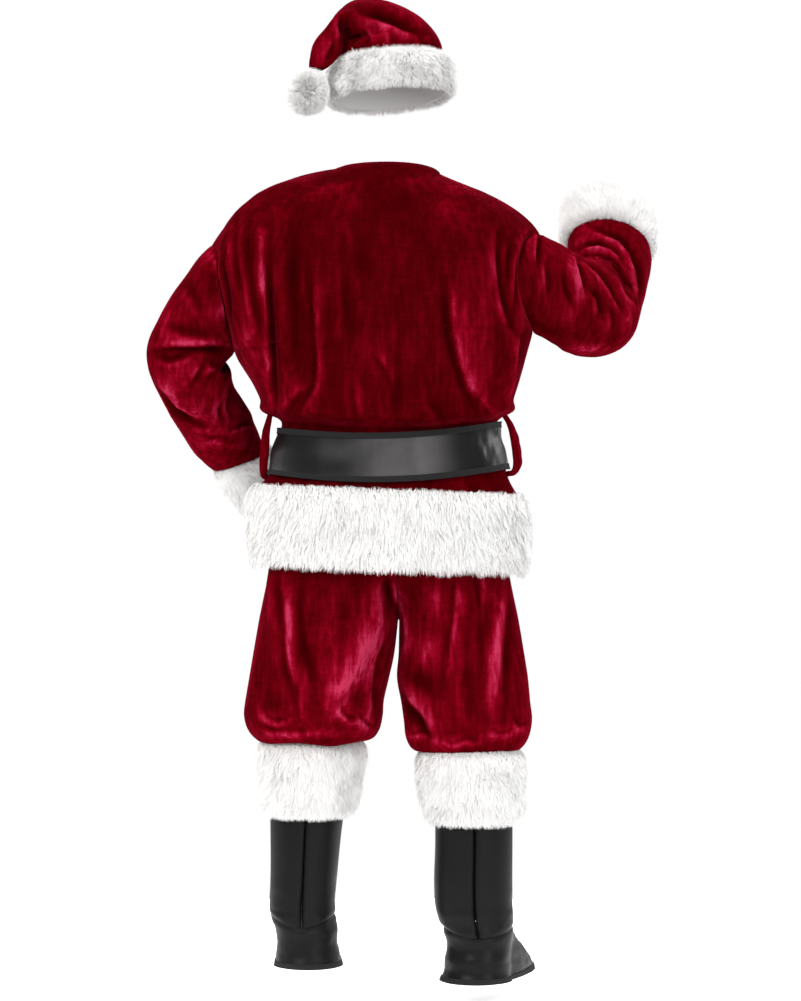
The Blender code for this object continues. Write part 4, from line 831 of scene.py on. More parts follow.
# Places where the nap is crushed and paler, and places where a highlight is painted: centre and radii in pixels,
# strength
Patch = namedtuple("Patch", "x y wide high strength")
CRUSHED_NAP_AND_PAINTED_HIGHLIGHTS = (
    Patch(474, 330, 19, 56, 0.34),
    Patch(482, 372, 16, 34, 0.20),
    Patch(505, 392, 9, 22, 0.14),
    Patch(458, 186, 16, 8, 0.30),
    Patch(422, 180, 16, 7, 0.22),
    Patch(312, 181, 16, 6, 0.30),
    Patch(262, 255, 6, 30, 0.22),
    Patch(246, 348, 10, 36, 0.20),
    Patch(390, 345, 34, 34, 0.10),
    Patch(284, 395, 12, 26, 0.18),
    Patch(300, 405, 22, 18, 0.14),
    Patch(352, 398, 10, 20, 0.14),
    Patch(516, 370, 5, 40, 0.16),
    Patch(432, 600, 9, 24, 0.36),
    Patch(427, 648, 11, 18, 0.34),
    Patch(452, 650, 5, 22, 0.18),
    Patch(494, 676, 6, 42, 0.26),
    Patch(455, 610, 6, 34, 0.14),
    Patch(289, 640, 5, 50, 0.22),
    Patch(300, 712, 6, 20, 0.10),
    Patch(368, 646, 14, 32, 0.22),
    Patch(346, 684, 18, 24, 0.26),
    Patch(331, 708, 9, 14, 0.16),
    Patch(376, 592, 6, 20, 0.16),
    Patch(281, 640, 6, 44, 0.14),
    Patch(270, 716, 9, 6, 0.34),
    Patch(344, 710, 6, 8, 0.34),
    Patch(366, 721, 8, 6, 0.30),
    Patch(499, 731, 16, 5, 0.34),
    Patch(413, 731, 8, 6, 0.36),
    Patch(456, 741, 14, 4, 0.28),
    Patch(310, 733, 46, 4, 0.22),
    Patch(206, 253, 8, 6, 0.30),
    Patch(214, 312, 14, 7, 0.22),
    Patch(162, 316, 6, 14, 0.22),
    Patch(223, 435, 7, 6, 0.26),
    Patch(196, 446, 16, 6, 0.14),
    Patch(210, 425, 34, 44, 0.20),
    Patch(246, 440, 14, 22, 0.14),
    Patch(176, 350, 22, 30, 0.06),
    Patch(176, 384, 14, 16, 0.12),
    Patch(322, 48, 12, 22, 0.26),
    Patch(395, 30, 40, 14, 0.14),
    Patch(528, 236, 7, 10, 0.22),
    Patch(520, 300, 5, 30, 0.20),
    Patch(572, 318, 16, 18, 0.14),
    Patch(590, 348, 22, 5, 0.22),
    Patch(632, 270, 5, 30, 0.18),
    Patch(600, 250, 18, 5, 0.16),
)


def finer(values, times=FINE):
    """The same list of numbers with more of them evenly between each two."""
    values = np.asarray(values, float)
    at = np.linspace(0, len(values) - 1, (len(values) - 1) * times + 1)
    return np.interp(at, np.arange(len(values)), values)


def noise(points, size, seed):
    """Smooth noise from -1 to 1, whose bumps have about this size along x, y and z."""
    table = np.random.default_rng(seed).uniform(-1, 1, (32, 32, 32))
    place = points / np.array(size) + 64.0
    base = np.floor(place).astype(int)
    part = place - base
    part = part * part * (3 - 2 * part)
    total = 0
    for corner in itertools.product((0, 1), repeat=3):
        weight = np.prod(np.where(corner, part, 1 - part), axis=-1)
        at = (base + corner) % 32
        total = total + weight * table[at[..., 0], at[..., 1], at[..., 2]]
    return total


def seen(points):
    """Where the camera sees each point, in pixels of the picture."""
    scale = CAMERA[1] / (CAMERA[1] - points[..., 1])
    x = CAMERA[0] + (points[..., 0] - CAMERA[0]) * scale
    z = CAMERA[2] + (points[..., 2] - CAMERA[2]) * scale
    return np.stack([PICTURE_X + x / PIXEL, PICTURE_Y - z / PIXEL], axis=-1)


# How strongly the creases' painted highlights lighten the colour
PAINTED_SHINE_GAIN = 0.72
# The narrowest side of a painted highlight, in pixels
STEEPEST = 2.2


def creased(pixels, creases):
    """How deep each place sinks at these creases, in metres, and how much highlight is painted on its colour."""
    depth = np.zeros(pixels.shape[:-1])
    shine = np.zeros(pixels.shape[:-1])
    for crease in creases:
        line = np.array(crease.line, float)
        reach = crease.width * 6
        near = np.all((pixels > line.min(axis=0) - reach) & (pixels < line.max(axis=0) + reach), axis=-1)
        if not near.any():
            continue
        spots = pixels[near]
        lengths = np.linalg.norm(np.diff(line, axis=0), axis=1)
        start = np.concatenate([[0], np.cumsum(lengths)])
        best = np.full(len(spots), 1e9)
        offset = np.zeros(len(spots))
        along = np.zeros(len(spots))
        for i, length in enumerate(lengths):
            step = (line[i + 1] - line[i]) / length
            from_start = spots - line[i]
            share = np.clip(from_start @ step, 0, length)
            away = from_start - share[:, None] * step
            distance = np.linalg.norm(away, axis=1)
            side = np.sign(from_start[:, 0] * step[1] - from_start[:, 1] * step[0])
            closer = distance < best
            best = np.where(closer, distance, best)
            offset = np.where(closer, side * distance, offset)
            along = np.where(closer, (start[i] + share) / start[-1], along)
        fade = 0.25 + 0.75 * eased(np.minimum(along, 1 - along) / 0.3)
        across = offset / crease.width
        flank = -across * math.copysign(1.0, crease.shine) - 1.35
        ridge = 0.45 * np.exp(-((flank / 1.1) ** 2)) * (crease.depth > 0)
        depth[near] += crease.depth * 0.001 * fade * (np.exp(-(across**2)) - ridge)
        steep = np.exp(-((flank / max(0.45, STEEPEST / crease.width)) ** 2))
        gentle = 0.35 * np.exp(-((flank / 0.7) ** 2)) + 0.65 * np.exp(-((flank / 2.4) ** 2))
        shine[near] += abs(crease.shine) * PAINTED_SHINE_GAIN * fade * np.where(flank < 0, steep, gentle)
    return depth, shine


def crushed_nap_and_painted_highlights(pixels):
    """How crushed the nap is at each place, and how much highlight is painted there."""
    total = np.zeros(pixels.shape[:-1])
    for patch in CRUSHED_NAP_AND_PAINTED_HIGHLIGHTS:
        away = (pixels - [patch.x, patch.y]) / [patch.wide, patch.high]
        total += patch.strength * np.exp(-(away**2).sum(axis=-1))
    return total


def edge_distance(grid, closed):
    """The distance of each point from the nearest free edge, along the cloth."""
    down = np.linalg.norm(np.diff(grid, axis=0), axis=-1)
    down = np.concatenate([np.zeros((1, grid.shape[1])), np.cumsum(down, axis=0)])
    nearest = np.minimum(down, down[-1:] - down)
    if not closed:
        side = np.linalg.norm(np.diff(grid, axis=1), axis=-1)
        side = np.concatenate([np.zeros((len(grid), 1)), np.cumsum(side, axis=1)], axis=1)
        nearest = np.minimum(nearest, np.minimum(side, side[:, -1:] - side))
    return nearest


# Painted light: how much lighter than the back the colour of other pieces is painted, by the start of their names
PIECE_PAINTED_LIGHT = {"sleeve": 0.09, "leg_ba": 0.07, "leg_fr": 0.07, "jacket": -0.02}
# The lightest that the painted highlights and crushed nap may make the colour, before each piece's painted light
BRIGHTEST_PAINTED_SHINE = 0.34


def dressed(grids, creases, swell, lowest=-2.0):
    """The grids with their creases and slow waves, and by name the colour values of their crushed nap, painted
    highlights and painted shade.
    """
    normals = shared_normals(grids)
    made = {}
    nap_and_painted_light_values = {}
    for name, (points, closed) in grids.items():
        normal = normals[name]
        pixels = seen(points)
        behind = eased(-normal[..., 1] * FOLD_FACING)
        front = eased(normal[..., 1] * FOLD_FACING)
        depth, shine = creased(pixels, creases)
        front_depth, front_painted_shine = creased(pixels, FRONT_CREASES)
        above = eased((points[..., 2] - belt_shift(points[..., 0]) - lowest) / FOLD_FADE)
        above = np.maximum(above, eased((lowest - 0.066 - points[..., 2]) / FOLD_FADE))
        wave = noise(points, (0.055, 0.055, 0.150), 3) * 0.0030
        wave = wave + noise(points, (0.022, 0.022, 0.045), 4) * 0.0010
        edge = edge_distance(points, closed)
        inside = eased(edge / 0.030)
        if name.startswith("leg"):
            above = above * eased(edge / 0.012)
        sunk = (depth * behind + front_depth * front) * above + wave * swell * inside * above
        made[name] = (points - normal * sunk[..., None], closed)
        # Painted highlights on crease flanks with the crushed nap and painted highlights of the patches, capped; then
        # painted shade, darker the deeper a crease, and each piece's painted light
        shine = shine * behind + front_painted_shine * front + crushed_nap_and_painted_highlights(pixels) * behind
        shine = BRIGHTEST_PAINTED_SHINE * np.tanh(shine / BRIGHTEST_PAINTED_SHINE)
        nap_and_painted_light_values[name] = shine + PIECE_PAINTED_LIGHT.get(name[:6], 0.0) - depth * behind * 50 - front_depth * front * 40
    return made, nap_and_painted_light_values


def add_mesh(name, points, faces, material, values=None):
    """A mesh object from arrays; values are one number a point, for the material."""
    mesh = bpy.data.meshes.new(name)
    points = np.asarray(points, np.float32)
    mesh.vertices.add(len(points))
    mesh.vertices.foreach_set("co", points.ravel())
    groups = faces if isinstance(faces, list) else [faces]
    corners = np.concatenate([group.ravel() for group in groups]).astype(np.int32)
    sizes = np.concatenate([np.full(len(group), group.shape[1]) for group in groups])
    starts = np.concatenate([[0], np.cumsum(sizes)[:-1]]).astype(np.int32)
    mesh.loops.add(len(corners))
    mesh.loops.foreach_set("vertex_index", corners)
    mesh.polygons.add(len(sizes))
    mesh.polygons.foreach_set("loop_start", starts)
    mesh.update(calc_edges=True)
    mesh.validate()
    if values is not None:
        # The colour value of each point: crushed nap with painted highlights and painted shade on plush, painted shade
        # at the fur's roots
        layer = mesh.attributes.new("nap_and_painted_light", "FLOAT", "POINT")
        layer.data.foreach_set("value", np.asarray(values, np.float32).ravel())
    mesh.materials.append(material)
    mesh.shade_smooth()
    made = bpy.data.objects.new(name, mesh)
    bpy.context.scene.collection.objects.link(made)
    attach(made, "root")
    return made


def grid_quads(rows, columns, closed, start=0):
    """Four corner numbers for each square of a grid whose points begin at start."""
    r = np.arange(rows - 1)[:, None]
    c = np.arange(columns if closed else columns - 1)[None]
    n = (c + 1) % columns
    here = r * columns
    below = here + columns
    quads = np.stack([here + c, here + n, below + n, below + c], axis=-1)
    return quads.reshape(-1, 4) + start


def add_shell(name, outer, inner, closed, material, nodes, values=None):
    """A closed thin shell between two grids, standing for these nodes."""
    rows, columns = outer.shape[:2]
    size = rows * columns
    faces = [grid_quads(rows, columns, closed), grid_quads(rows, columns, closed, size)[:, ::-1]]
    c = np.arange(columns if closed else columns - 1)
    n = (c + 1) % columns
    top = (rows - 1) * columns
    faces.append(np.stack([n, c, size + c, size + n], axis=1))
    faces.append(np.stack([top + c, top + n, size + top + n, size + top + c], axis=1))
    if not closed:
        r = np.arange(rows - 1)
        low, high = r * columns, (r + 1) * columns
        faces.append(np.stack([low, high, size + high, size + low], axis=1))
        low, high = low + columns - 1, high + columns - 1
        faces.append(np.stack([high, low, size + low, size + high], axis=1))
    points = np.concatenate([outer.reshape(-1, 3), inner.reshape(-1, 3)])
    if values is not None:
        values = np.concatenate([values.ravel(), values.ravel() * 0])
    made = add_mesh(name, points, faces, material, values)
    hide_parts(*nodes)
    return made


def add_cloth(name, grid, closed, thickness, material, values=None,
              nodes=None):
    """A cloth piece with rolled edges."""
    normals = unit(face_normals(grid, closed))
    away = edge_distance(grid, closed)
    dip = SEAM_DIP * np.exp(-((away / SEAM_WIDTH) ** 2))
    outer = grid - normals * dip[..., None]
    inner = grid - normals * (thickness + dip * 0.2)[..., None]
    made = add_shell(name + "_cloth", outer, inner, closed, material, nodes or [name], values)
    return made


def add_node(tree, kind, inputs=None, **settings):
    """One shader node, with numbers or sockets for its inputs."""
    made = tree.nodes.new("ShaderNode" + kind)
    for key, value in settings.items():
        setattr(made, key, value)
    for key, value in (inputs or {}).items():
        if isinstance(value, bpy.types.NodeSocket):
            tree.links.new(value, made.inputs[key])
        else:
            made.inputs[key].default_value = value
    return made


def new_material(name, roughness, specular=0.5):
    """A material with its tree and main shader."""
    made = bpy.data.materials.new(name)
    made.use_nodes = True
    tree = made.node_tree
    shader = tree.nodes["Principled BSDF"]
    shader.inputs["Roughness"].default_value = roughness
    shader.inputs["Specular IOR Level"].default_value = specular
    return made, tree, shader


def stretched_noise(tree, scale, stretch, detail=3.0, roughness=0.55):
    """Noise over the cloth, with its bumps drawn out along an axis."""
    place = add_node(tree, "TexCoord").outputs["Object"]
    place = add_node(tree, "Mapping", {"Vector": place, "Scale": stretch}).outputs["Vector"]
    inputs = {"Vector": place, "Scale": scale, "Detail": detail, "Roughness": roughness}
    return add_node(tree, "TexNoise", inputs).outputs["Fac"]


def summed(tree, start, *terms):
    """A number and several sockets, each less a half and times its weight, added up."""
    total = start
    for socket, weight in terms:
        centred = add_node(tree, "Math", {0: socket, 1: 0.5}, operation="SUBTRACT").outputs[0]
        total = add_node(tree, "Math", {0: centred, 1: weight, 2: total}, operation="MULTIPLY_ADD").outputs[0]
    return total


def ramp(tree, value, stops):
    """A colour for each value, between the stops."""
    made = add_node(tree, "ValToRGB", {"Fac": value})
    elements = made.color_ramp.elements
    while len(elements) < len(stops):
        elements.new(0.5)
    for element, (place, colour) in zip(elements, stops):
        element.position = place
        element.color = (*colour, 1.0)
    return made.outputs["Color"]


def bump(tree, shader, height, distance, strength=1.0):
    """Small relief on the surface."""
    made = add_node(tree, "Bump", {"Height": height, "Distance": distance, "Strength": strength})
    tree.links.new(made.outputs["Normal"], shader.inputs["Normal"])


# Plush colour by its value: the dark end also gives the painted shade of troughs, the pink top end the painted
# highlights
PLUSH_STOPS = (
    (0.00, (0.010, 0.0000, 0.0003)),
    (0.25, (0.030, 0.0001, 0.0006)),
    (0.42, (0.050, 0.0001, 0.0012)),
    (0.58, (0.096, 0.0003, 0.0030)),
    (0.74, (0.168, 0.0010, 0.0085)),
    (0.90, (0.255, 0.0070, 0.0300)),
    (1.00, (0.340, 0.0200, 0.0560)),
)


def plush_material():
    """Crushed red velvet: a short nap with streaks, faint ribs and pinkish sheen; its base colour also carries painted
    shade in creases and painted highlights.
    """
    made, tree, shader = new_material("red_plush_cloth", 0.85, 0.0)
    nap_and_painted_light = add_node(tree, "Attribute", attribute_name="nap_and_painted_light").outputs["Fac"]
    patch = stretched_noise(tree, 14, (1.0, 1.0, 0.55), 4, 0.62)
    streak = stretched_noise(tree, 85, (1.0, 1.0, 0.22), 3, 0.6)
    rib = stretched_noise(tree, 230, (0.12, 0.12, 1.0), 2, 0.5)
    fine = stretched_noise(tree, 520, (1.0, 1.0, 0.6), 2, 0.6)
    # The streaks show more where the value is higher, in crushed nap and painted highlights
    crush = add_node(tree, "Math", {0: nap_and_painted_light, 1: 1.6, 2: 0.55}, operation="MULTIPLY_ADD").outputs[0]
    mottled = add_node(tree, "Math", {0: streak, 1: 0.5}, operation="SUBTRACT").outputs[0]
    mottled = add_node(tree, "Math", {0: mottled, 1: crush}, operation="MULTIPLY").outputs[0]
    value = add_node(tree, "Math", {0: nap_and_painted_light, 1: 0.42}, operation="ADD").outputs[0]
    value = add_node(tree, "Math", {0: mottled, 1: 0.75, 2: value}, operation="MULTIPLY_ADD").outputs[0]
    value = summed(tree, value, (patch, 0.42), (rib, 0.13), (fine, 0.16))
    tree.links.new(ramp(tree, value, PLUSH_STOPS), shader.inputs["Base Color"])
    shader.inputs["Sheen Weight"].default_value = 0.30
    shader.inputs["Sheen Roughness"].default_value = 0.25
    shader.inputs["Sheen Tint"].default_value = (1.0, 0.03, 0.09, 1.0)
    relief = summed(tree, 0.5, (fine, 0.5), (streak, 0.6), (rib, 0.3))
    bump(tree, shader, relief, 0.0022, 0.8)
    return made


def fur_material():
    """Soft white pile, with painted shade making it a little greyer at its roots and on its skin."""
    made, tree, shader = new_material("white_long_fur", 0.9, 0.1)
    nap_and_painted_light = add_node(tree, "Attribute", attribute_name="nap_and_painted_light").outputs["Fac"]
    tuft = stretched_noise(tree, 60, (1.0, 1.0, 1.0), 2)
    value = summed(tree, nap_and_painted_light, (tuft, 0.25))
    stops = ((0.0, (0.85, 0.843, 0.832)), (0.45, (0.880, 0.874, 0.865)), (1.0, (0.900, 0.896, 0.888)))
    tree.links.new(ramp(tree, value, stops), shader.inputs["Base Color"])
    shader.inputs["Sheen Weight"].default_value = 0.25
    shader.inputs["Sheen Roughness"].default_value = 0.5
    return made


def vinyl_material(name, shade, roughness, specular, painted_highlight_strength):
    """Black vinyl with a leathery grain, faint wrinkles and a highlight painted paler on its middle."""
    made, tree, shader = new_material(name, roughness, specular)
    wear = stretched_noise(tree, 9, (1.0, 1.0, 0.8), 4)
    grain = stretched_noise(tree, 900, (1.0, 1.0, 1.0), 2, 0.6)
    crease = stretched_noise(tree, 26, (1.0, 1.0, 0.7), 3, 0.5)
    # Painted highlight: the colour is paler near the middle across, mottled by the wear noise
    place = add_node(tree, "TexCoord").outputs["Object"]
    across = add_node(tree, "SeparateXYZ", {"Vector": place}).outputs["X"]
    away = add_node(tree, "Math", {0: across, 1: PAINTED_HIGHLIGHT_X}, operation="SUBTRACT").outputs[0]
    away = add_node(tree, "Math", {0: away}, operation="ABSOLUTE").outputs[0]
    inputs = {"Value": away, 1: PAINTED_HIGHLIGHT_FROM, 2: PAINTED_HIGHLIGHT_TO, 3: 1.0, 4: 0.0}
    middle = add_node(tree, "MapRange", inputs, interpolation_type="SMOOTHSTEP").outputs[0]
    middle = add_node(tree, "Math", {0: middle, 1: painted_highlight_strength}, operation="MULTIPLY").outputs[0]
    highlight_mottle = add_node(tree, "Math", {0: wear, 1: 0.5}, operation="SUBTRACT").outputs[0]
    highlight_mottle = add_node(tree, "Math", {0: highlight_mottle, 1: 2.4, 2: 1.0}, operation="MULTIPLY_ADD").outputs[0]
    painted_highlight = add_node(tree, "Math", {0: middle, 1: highlight_mottle}, operation="MULTIPLY").outputs[0]
    stops = ((0.0, (shade, shade * 0.96, shade * 0.98)), (1.0, (0.095, 0.089, 0.093)))
    tree.links.new(ramp(tree, painted_highlight, stops), shader.inputs["Base Color"])
    inputs = {"Value": wear, 1: 0.3, 2: 0.7, 3: roughness - 0.06, 4: roughness + 0.08}
    spread = add_node(tree, "MapRange", inputs)
    tree.links.new(spread.outputs[0], shader.inputs["Roughness"])
    relief = summed(tree, 0.5, (grain, 0.06), (crease, 0.5))
    bump(tree, shader, relief, 0.0020, 0.6)
    return made


def tape_material():
    """Dull black woven tape."""
    made, tree, shader = new_material("black_woven_tape", 0.9, 0.2)
    place = add_node(tree, "TexCoord").outputs["Object"]
    weave = add_node(tree, "TexWave", {"Vector": place, "Scale": 380, "Distortion": 1.5}, bands_direction="Z")
    thread = stretched_noise(tree, 700, (1.0, 1.0, 1.0), 2)
    value = summed(tree, 0.5, (weave.outputs["Fac"], 0.5), (thread, 0.6))
    stops = ((0.2, (0.006, 0.006, 0.006)), (0.8, (0.018, 0.017, 0.018)))
    tree.links.new(ramp(tree, value, stops), shader.inputs["Base Color"])
    bump(tree, shader, value, 0.0004, 0.8)
    return made


def metal_material():
    """Satin metal with fine brushing."""
    made, tree, shader = new_material("satin_metal", 0.32)
    shader.inputs["Metallic"].default_value = 1.0
    brushed = stretched_noise(tree, 420, (0.08, 1.0, 1.0), 3)
    stops = ((0.2, (0.46, 0.46, 0.47)), (0.8, (0.66, 0.66, 0.67)))
    tree.links.new(ramp(tree, brushed, stops), shader.inputs["Base Color"])
    spread = add_node(tree, "MapRange", {"Value": brushed, 3: 0.24, 4: 0.42})
    tree.links.new(spread.outputs[0], shader.inputs["Roughness"])
    bump(tree, shader, brushed, 0.0002, 0.5)
    return made


def add_strands(name, grid, outward, along, closed, count, length, width, seed, lean=0.55, flyaway=0.12,
                clump=0.007, trim=0.5):
    """Fur as tapered bent blades rooted all over a grid, leaning along it and gathered into small tufts."""
    rng = np.random.default_rng(seed)
    rows, columns = grid.shape[:2]
    quads = grid_quads(rows, columns, closed)
    points = grid.reshape(-1, 3)
    out = outward.reshape(-1, 3)
    run = along.reshape(-1, 3)
    a, b, c, d = (points[quads[:, i]] for i in range(4))
    area = np.linalg.norm(np.cross(c - a, d - b), axis=1)
    chosen = quads[rng.choice(len(quads), count, p=area / area.sum())]
    s = rng.uniform(0, 1, (count, 1))
    t = rng.uniform(0, 1, (count, 1))

    def spread(values):
        first = values[chosen[:, 0]] * (1 - s) + values[chosen[:, 1]] * s
        second = values[chosen[:, 3]] * (1 - s) + values[chosen[:, 2]] * s
        return first * (1 - t) + second * t

    roots = spread(points)
    up = unit(spread(out))
    lay = unit(spread(run))
    swirl = np.stack([noise(roots, (0.03,) * 3, seed + 10 + i) for i in range(3)], axis=1)
    swirl += 0.5 * np.stack([noise(roots, (0.011,) * 3, seed + 20 + i) for i in range(3)], axis=1)
    loose = rng.normal(0, flyaway, (count, 3))
    tip_way = unit(up * (1 - lean) + lay * lean + swirl * 0.22 + loose)
    root_way = unit(up * 0.9 + lay * lean * 0.5 + swirl * 0.15 + loose * 0.5)
    uneven = 0.16 * noise(roots, (0.02,) * 3, seed + 31)[:, None]
    long = length * (0.72 + 0.28 * rng.uniform(0, 1, (count, 1)) + uneven)
    low = (chosen[:, :1] // columns / rows - 0.75) / 0.25
    long = long * (1 - trim * eased(low))
    middle = roots + root_way * long * 0.45
    tips = middle + tip_way * long * 0.60
    tuft_count = max(8, int(area.sum() / 2 / clump**2))
    picked = rng.choice(count, min(tuft_count, count), replace=False)
    tree = kdtree.KDTree(len(picked))
    for i, k in enumerate(picked):
        tree.insert(Vector(roots[k]), i)
    tree.balance()
    nearest = np.array([tree.find(Vector(root))[1] for root in roots])
    tips = tips + (tips[picked][nearest] - tips) * rng.uniform(0.10, 0.45, (count, 1))
    flat_side = unit(np.cross(up, tips - roots))
    steep_side = unit(np.cross(flat_side, tips - roots))
    turn = rng.normal(0, 0.5, (count, 1))
    side = flat_side * np.cos(turn) + steep_side * np.sin(turn)
    half = side * width / 2 * rng.uniform(0.7, 1.2, (count, 1))
    corners = np.stack([roots - half, roots + half, middle - half * 0.8, middle + half * 0.8, tips], axis=1)
    base = (np.arange(count) * 5)[:, None]
    faces = np.concatenate([base + [0, 1, 3], base + [0, 3, 2], base + [2, 3, 4]])
    # Painted shade: each blade's root and middle are darker than its tip
    values = np.tile([0.40, 0.40, 0.65, 0.65, 1.0], count)
    made = add_mesh(name, corners.reshape(-1, 3), faces, FUR, values)
    return made


def fur_backing(first_edge, last_edge, outward, pile, rows=FUR_ROWS, share=0.42):
    """Outer and inner grids of a strip's skin, with soft lumps under its strands."""
    t = np.linspace(0, 1, rows + 1)[:, None, None]
    inner = first_edge[None] + (last_edge - first_edge)[None] * t
    full = np.sqrt(np.clip(1 - np.abs(2 * t - 1) ** 6, 0.0004, 1))
    lumps = 1 + 0.22 * noise(inner, (0.03,) * 3, 8)[..., None]
    outer = inner + outward[None] * pile * share * full * lumps
    return outer, inner


def add_fur(name, first_edge, last_edge, outward, closed, pile, count, flat, held, rests_on, fringe, **look):
    """A strip of fur: its skin, with its strands and the loose ones at its edges."""
    outer, inner = fur_backing(first_edge, last_edge, outward, pile)
    tuck = unit(last_edge - first_edge) * FUR_TUCK + outward * FUR_SINK
    outer[0] -= tuck
    inner[0] -= tuck
    # The skin under the strands is painted darker than the tips, as shade
    skin = add_shell(name + "_skin", outer, inner, closed, FUR, [name], np.full(outer.shape[:2], 0.45))
    along = np.broadcast_to(unit(last_edge - first_edge)[None], outer.shape)
    up = np.broadcast_to(outward[None], outer.shape).copy()
    edge = np.linspace(-1, 1, len(outer))[:, None, None]
    up = unit(up + along * np.sign(edge) * np.abs(edge) ** 8 * 1.1)
    strands = add_strands(name + "_pile", outer, up, along, closed, count, **look)
    edges = (("first", slice(0, 3), -1, fringe[0]), ("last", slice(-3, None), 1, fringe[1]))
    for side, rows, turn, (number, long) in edges:
        if number:
            way = along[rows] * turn
            add_strands(name + "_" + side + "_fringe", outer[rows], up[rows], way, closed,
                                       number,
                                       long, look["width"], look["seed"] + 50, 0.48, 0.20, 0.006, 0.0)
    return skin


def jacket_panels():
    """Outer points of the jacket's cloth pieces, by name."""
    u = np.linspace(-1, 1, BACK_COLUMNS * FINE + 1)
    back = jacket_panel(u, -1)
    lap = np.linspace(-FRONT_LAP, FRONT_LAP, 2 * FINE + 1)
    left_u = np.concatenate([u[u < -FRONT_LAP - 0.005], lap])
    right_u = np.concatenate([lap, u[u > FRONT_LAP + 0.005]])
    left = jacket_panel(left_u, 1)
    grids = {
        "jacket_back": (back, False),
        "jacket_front_left": (left, False),
        "jacket_front_right": (jacket_panel(right_u, 1), False),
    }
    for side, name, sections, under in (
        (-1, "left", LEFT_SLEEVE, len(BODY_HEIGHTS)),
        (1, "right", RIGHT_SLEEVE, len(BODY_HEIGHTS) + UNDERARM_ROWS),
    ):
        under *= FINE
        loop = armhole(back, grids["jacket_front_" + name][0], side, under)
        angles = loop_angles(loop, len(back) - under - 1)
        rings = tube_rings(sections, angles, SLEEVE_ROWS * FINE * 2, loop, SLEEVE_BLEND)
        grids["sleeve_" + name] = (rings, True)
    lift = (PLUSH + LAYER_GAP * 2) * eased((left_u + FRONT_LAP * 2) / FRONT_LAP)
    grids["jacket_front_left"] = (left + np.array([0, 1, 0]) * lift[None, :, None], False)
    return {name: (turned_out(points, closed), closed) for name, (points, closed) in grids.items()}


SPLIT = {
    "jacket_back": ("jacket_back_left", "jacket_back_right"),
    "sleeve_left": ("sleeve_left_upper", "sleeve_left_lower"),
    "sleeve_right": ("sleeve_right_upper", "sleeve_right_lower"),
}
BACK = list(SPLIT["jacket_back"])


def squared(sleeve):
    """The sleeve with the near side of its end drawn up, so that its cuff is seen straight across."""
    ring = sleeve[-1]
    axis = unit(ring.mean(axis=0) - sleeve[-10].mean(axis=0))
    spots = seen(ring)
    low, high = spots[spots[:, 0].argmin()], spots[spots[:, 0].argmax()]
    across = unit(high - low)
    square = np.array([-across[1], across[0]])
    shown = np.array([axis[0], -axis[2]])
    beyond = (spots - low) @ square * np.sign(shown @ square)
    drawn = np.clip(beyond, 0, None) * PIXEL / abs(shown @ square)
    share = eased((np.linspace(0, 1, len(sleeve)) - SQUARED_FROM) / (1 - SQUARED_FROM))
    return sleeve - axis * (share[:, None] * drawn * SQUARED)[..., None]


def make_jacket():
    """Back, fronts, sleeves and their fur."""
    grids = folded(jacket_panels(), BACK_FOLDS + SLEEVE_FOLDS, FRONT_FOLDS, BLOUSE_Z)
    creases = BACK_CREASES + LEFT_SLEEVE_CREASES + RIGHT_SLEEVE_CREASES
    grids, nap_and_painted_light_values = dressed(grids, creases, 1.0, BLOUSE_Z)
    cuts = {
        "jacket_back": ((0.66, 0.66), 0.40),
        "jacket_front_left": ((0.40, 0.66), 0.23),
        "jacket_front_right": ((0.36, 0.66), 0.20),
        "sleeve_left": ((0.56, 0.66), 0.20),
        "sleeve_right": ((0.56, 0.50), 0.22),
    }
    ends = {side: grids["sleeve_" + side][0][-1] for side in ("left", "right")}
    grids["sleeve_left"] = (squared(grids["sleeve_left"][0]), True)
    for name, (points, closed) in grids.items():
        flat, area = cuts[name]
        halves = SPLIT.get(name, (name,))
        add_cloth(name, points, closed, PLUSH, PLUSH_CLOTH,
                  nap_and_painted_light_values[name],
                  halves)
    for side, sections, end, pile, count, flat, fringe in (
        ("left", LEFT_SLEEVE, LEFT_CUFF_END, LEFT_CUFF_PILE, 26000, (0.34, 0.11),
         ((5000, 0.012), (0, 0))),
        ("right", RIGHT_SLEEVE, RIGHT_CUFF_END, RIGHT_CUFF_PILE, 34000, (0.50, 0.10),
         ((4000, 0.009), (0, 0))),
    ):
        first = ends[side]
        centre = first.mean(axis=0)
        last_centre = np.array([(end.ax + end.bx) / 2, end.y, (end.az + end.bz) / 2])
        last = last_centre + (first - centre) * end.half_depth / sections[-1].half_depth
        outward = ring_outward(first, last)
        first = grids["sleeve_" + side][0][-1]
        add_fur("cuff_fur_" + side, first, last, outward, True, pile, count, flat, "hung",
                ["sleeve_" + side + "_lower"], fringe, length=pile * 1.3, width=0.0010, seed=40 + len(side), lean=0.62)
    make_hem()


def make_hem():
    """The fur border round the jacket's lower edge."""
    u = np.linspace(-1, 1, HEM_COLUMNS * 2 + 1)
    open_u = np.concatenate([[FRONT_LAP + HEM_OPENING], u[u > FRONT_LAP + HEM_OPENING + 0.01]])
    close_u = np.concatenate([u[u < FRONT_LAP - 0.01], [FRONT_LAP]])
    line = np.concatenate([
        jacket_line(open_u, 1, HEM_Z),
        jacket_line(u[::-1], -1, HEM_Z)[1:-1],
        jacket_line(close_u, 1, HEM_Z),
    ])
    below = line * [HEM_TAPER, HEM_TAPER, 1] + [0, 0, -HEM_FUR_DROP]
    along = np.gradient(line, axis=0)
    outward = unit(np.stack([-along[:, 1], along[:, 0], np.zeros(len(line))], axis=1))
    if (outward * line).sum() < 0:
        outward = -outward
    add_fur("hem_fur", line, below, outward, False, HEM_PILE, 65000, (1.44, HEM_FUR_DROP), "hung", BACK,
            ((7500, 0.010), (2000, 0.018)), length=0.027, width=0.0011, seed=60, lean=0.74)


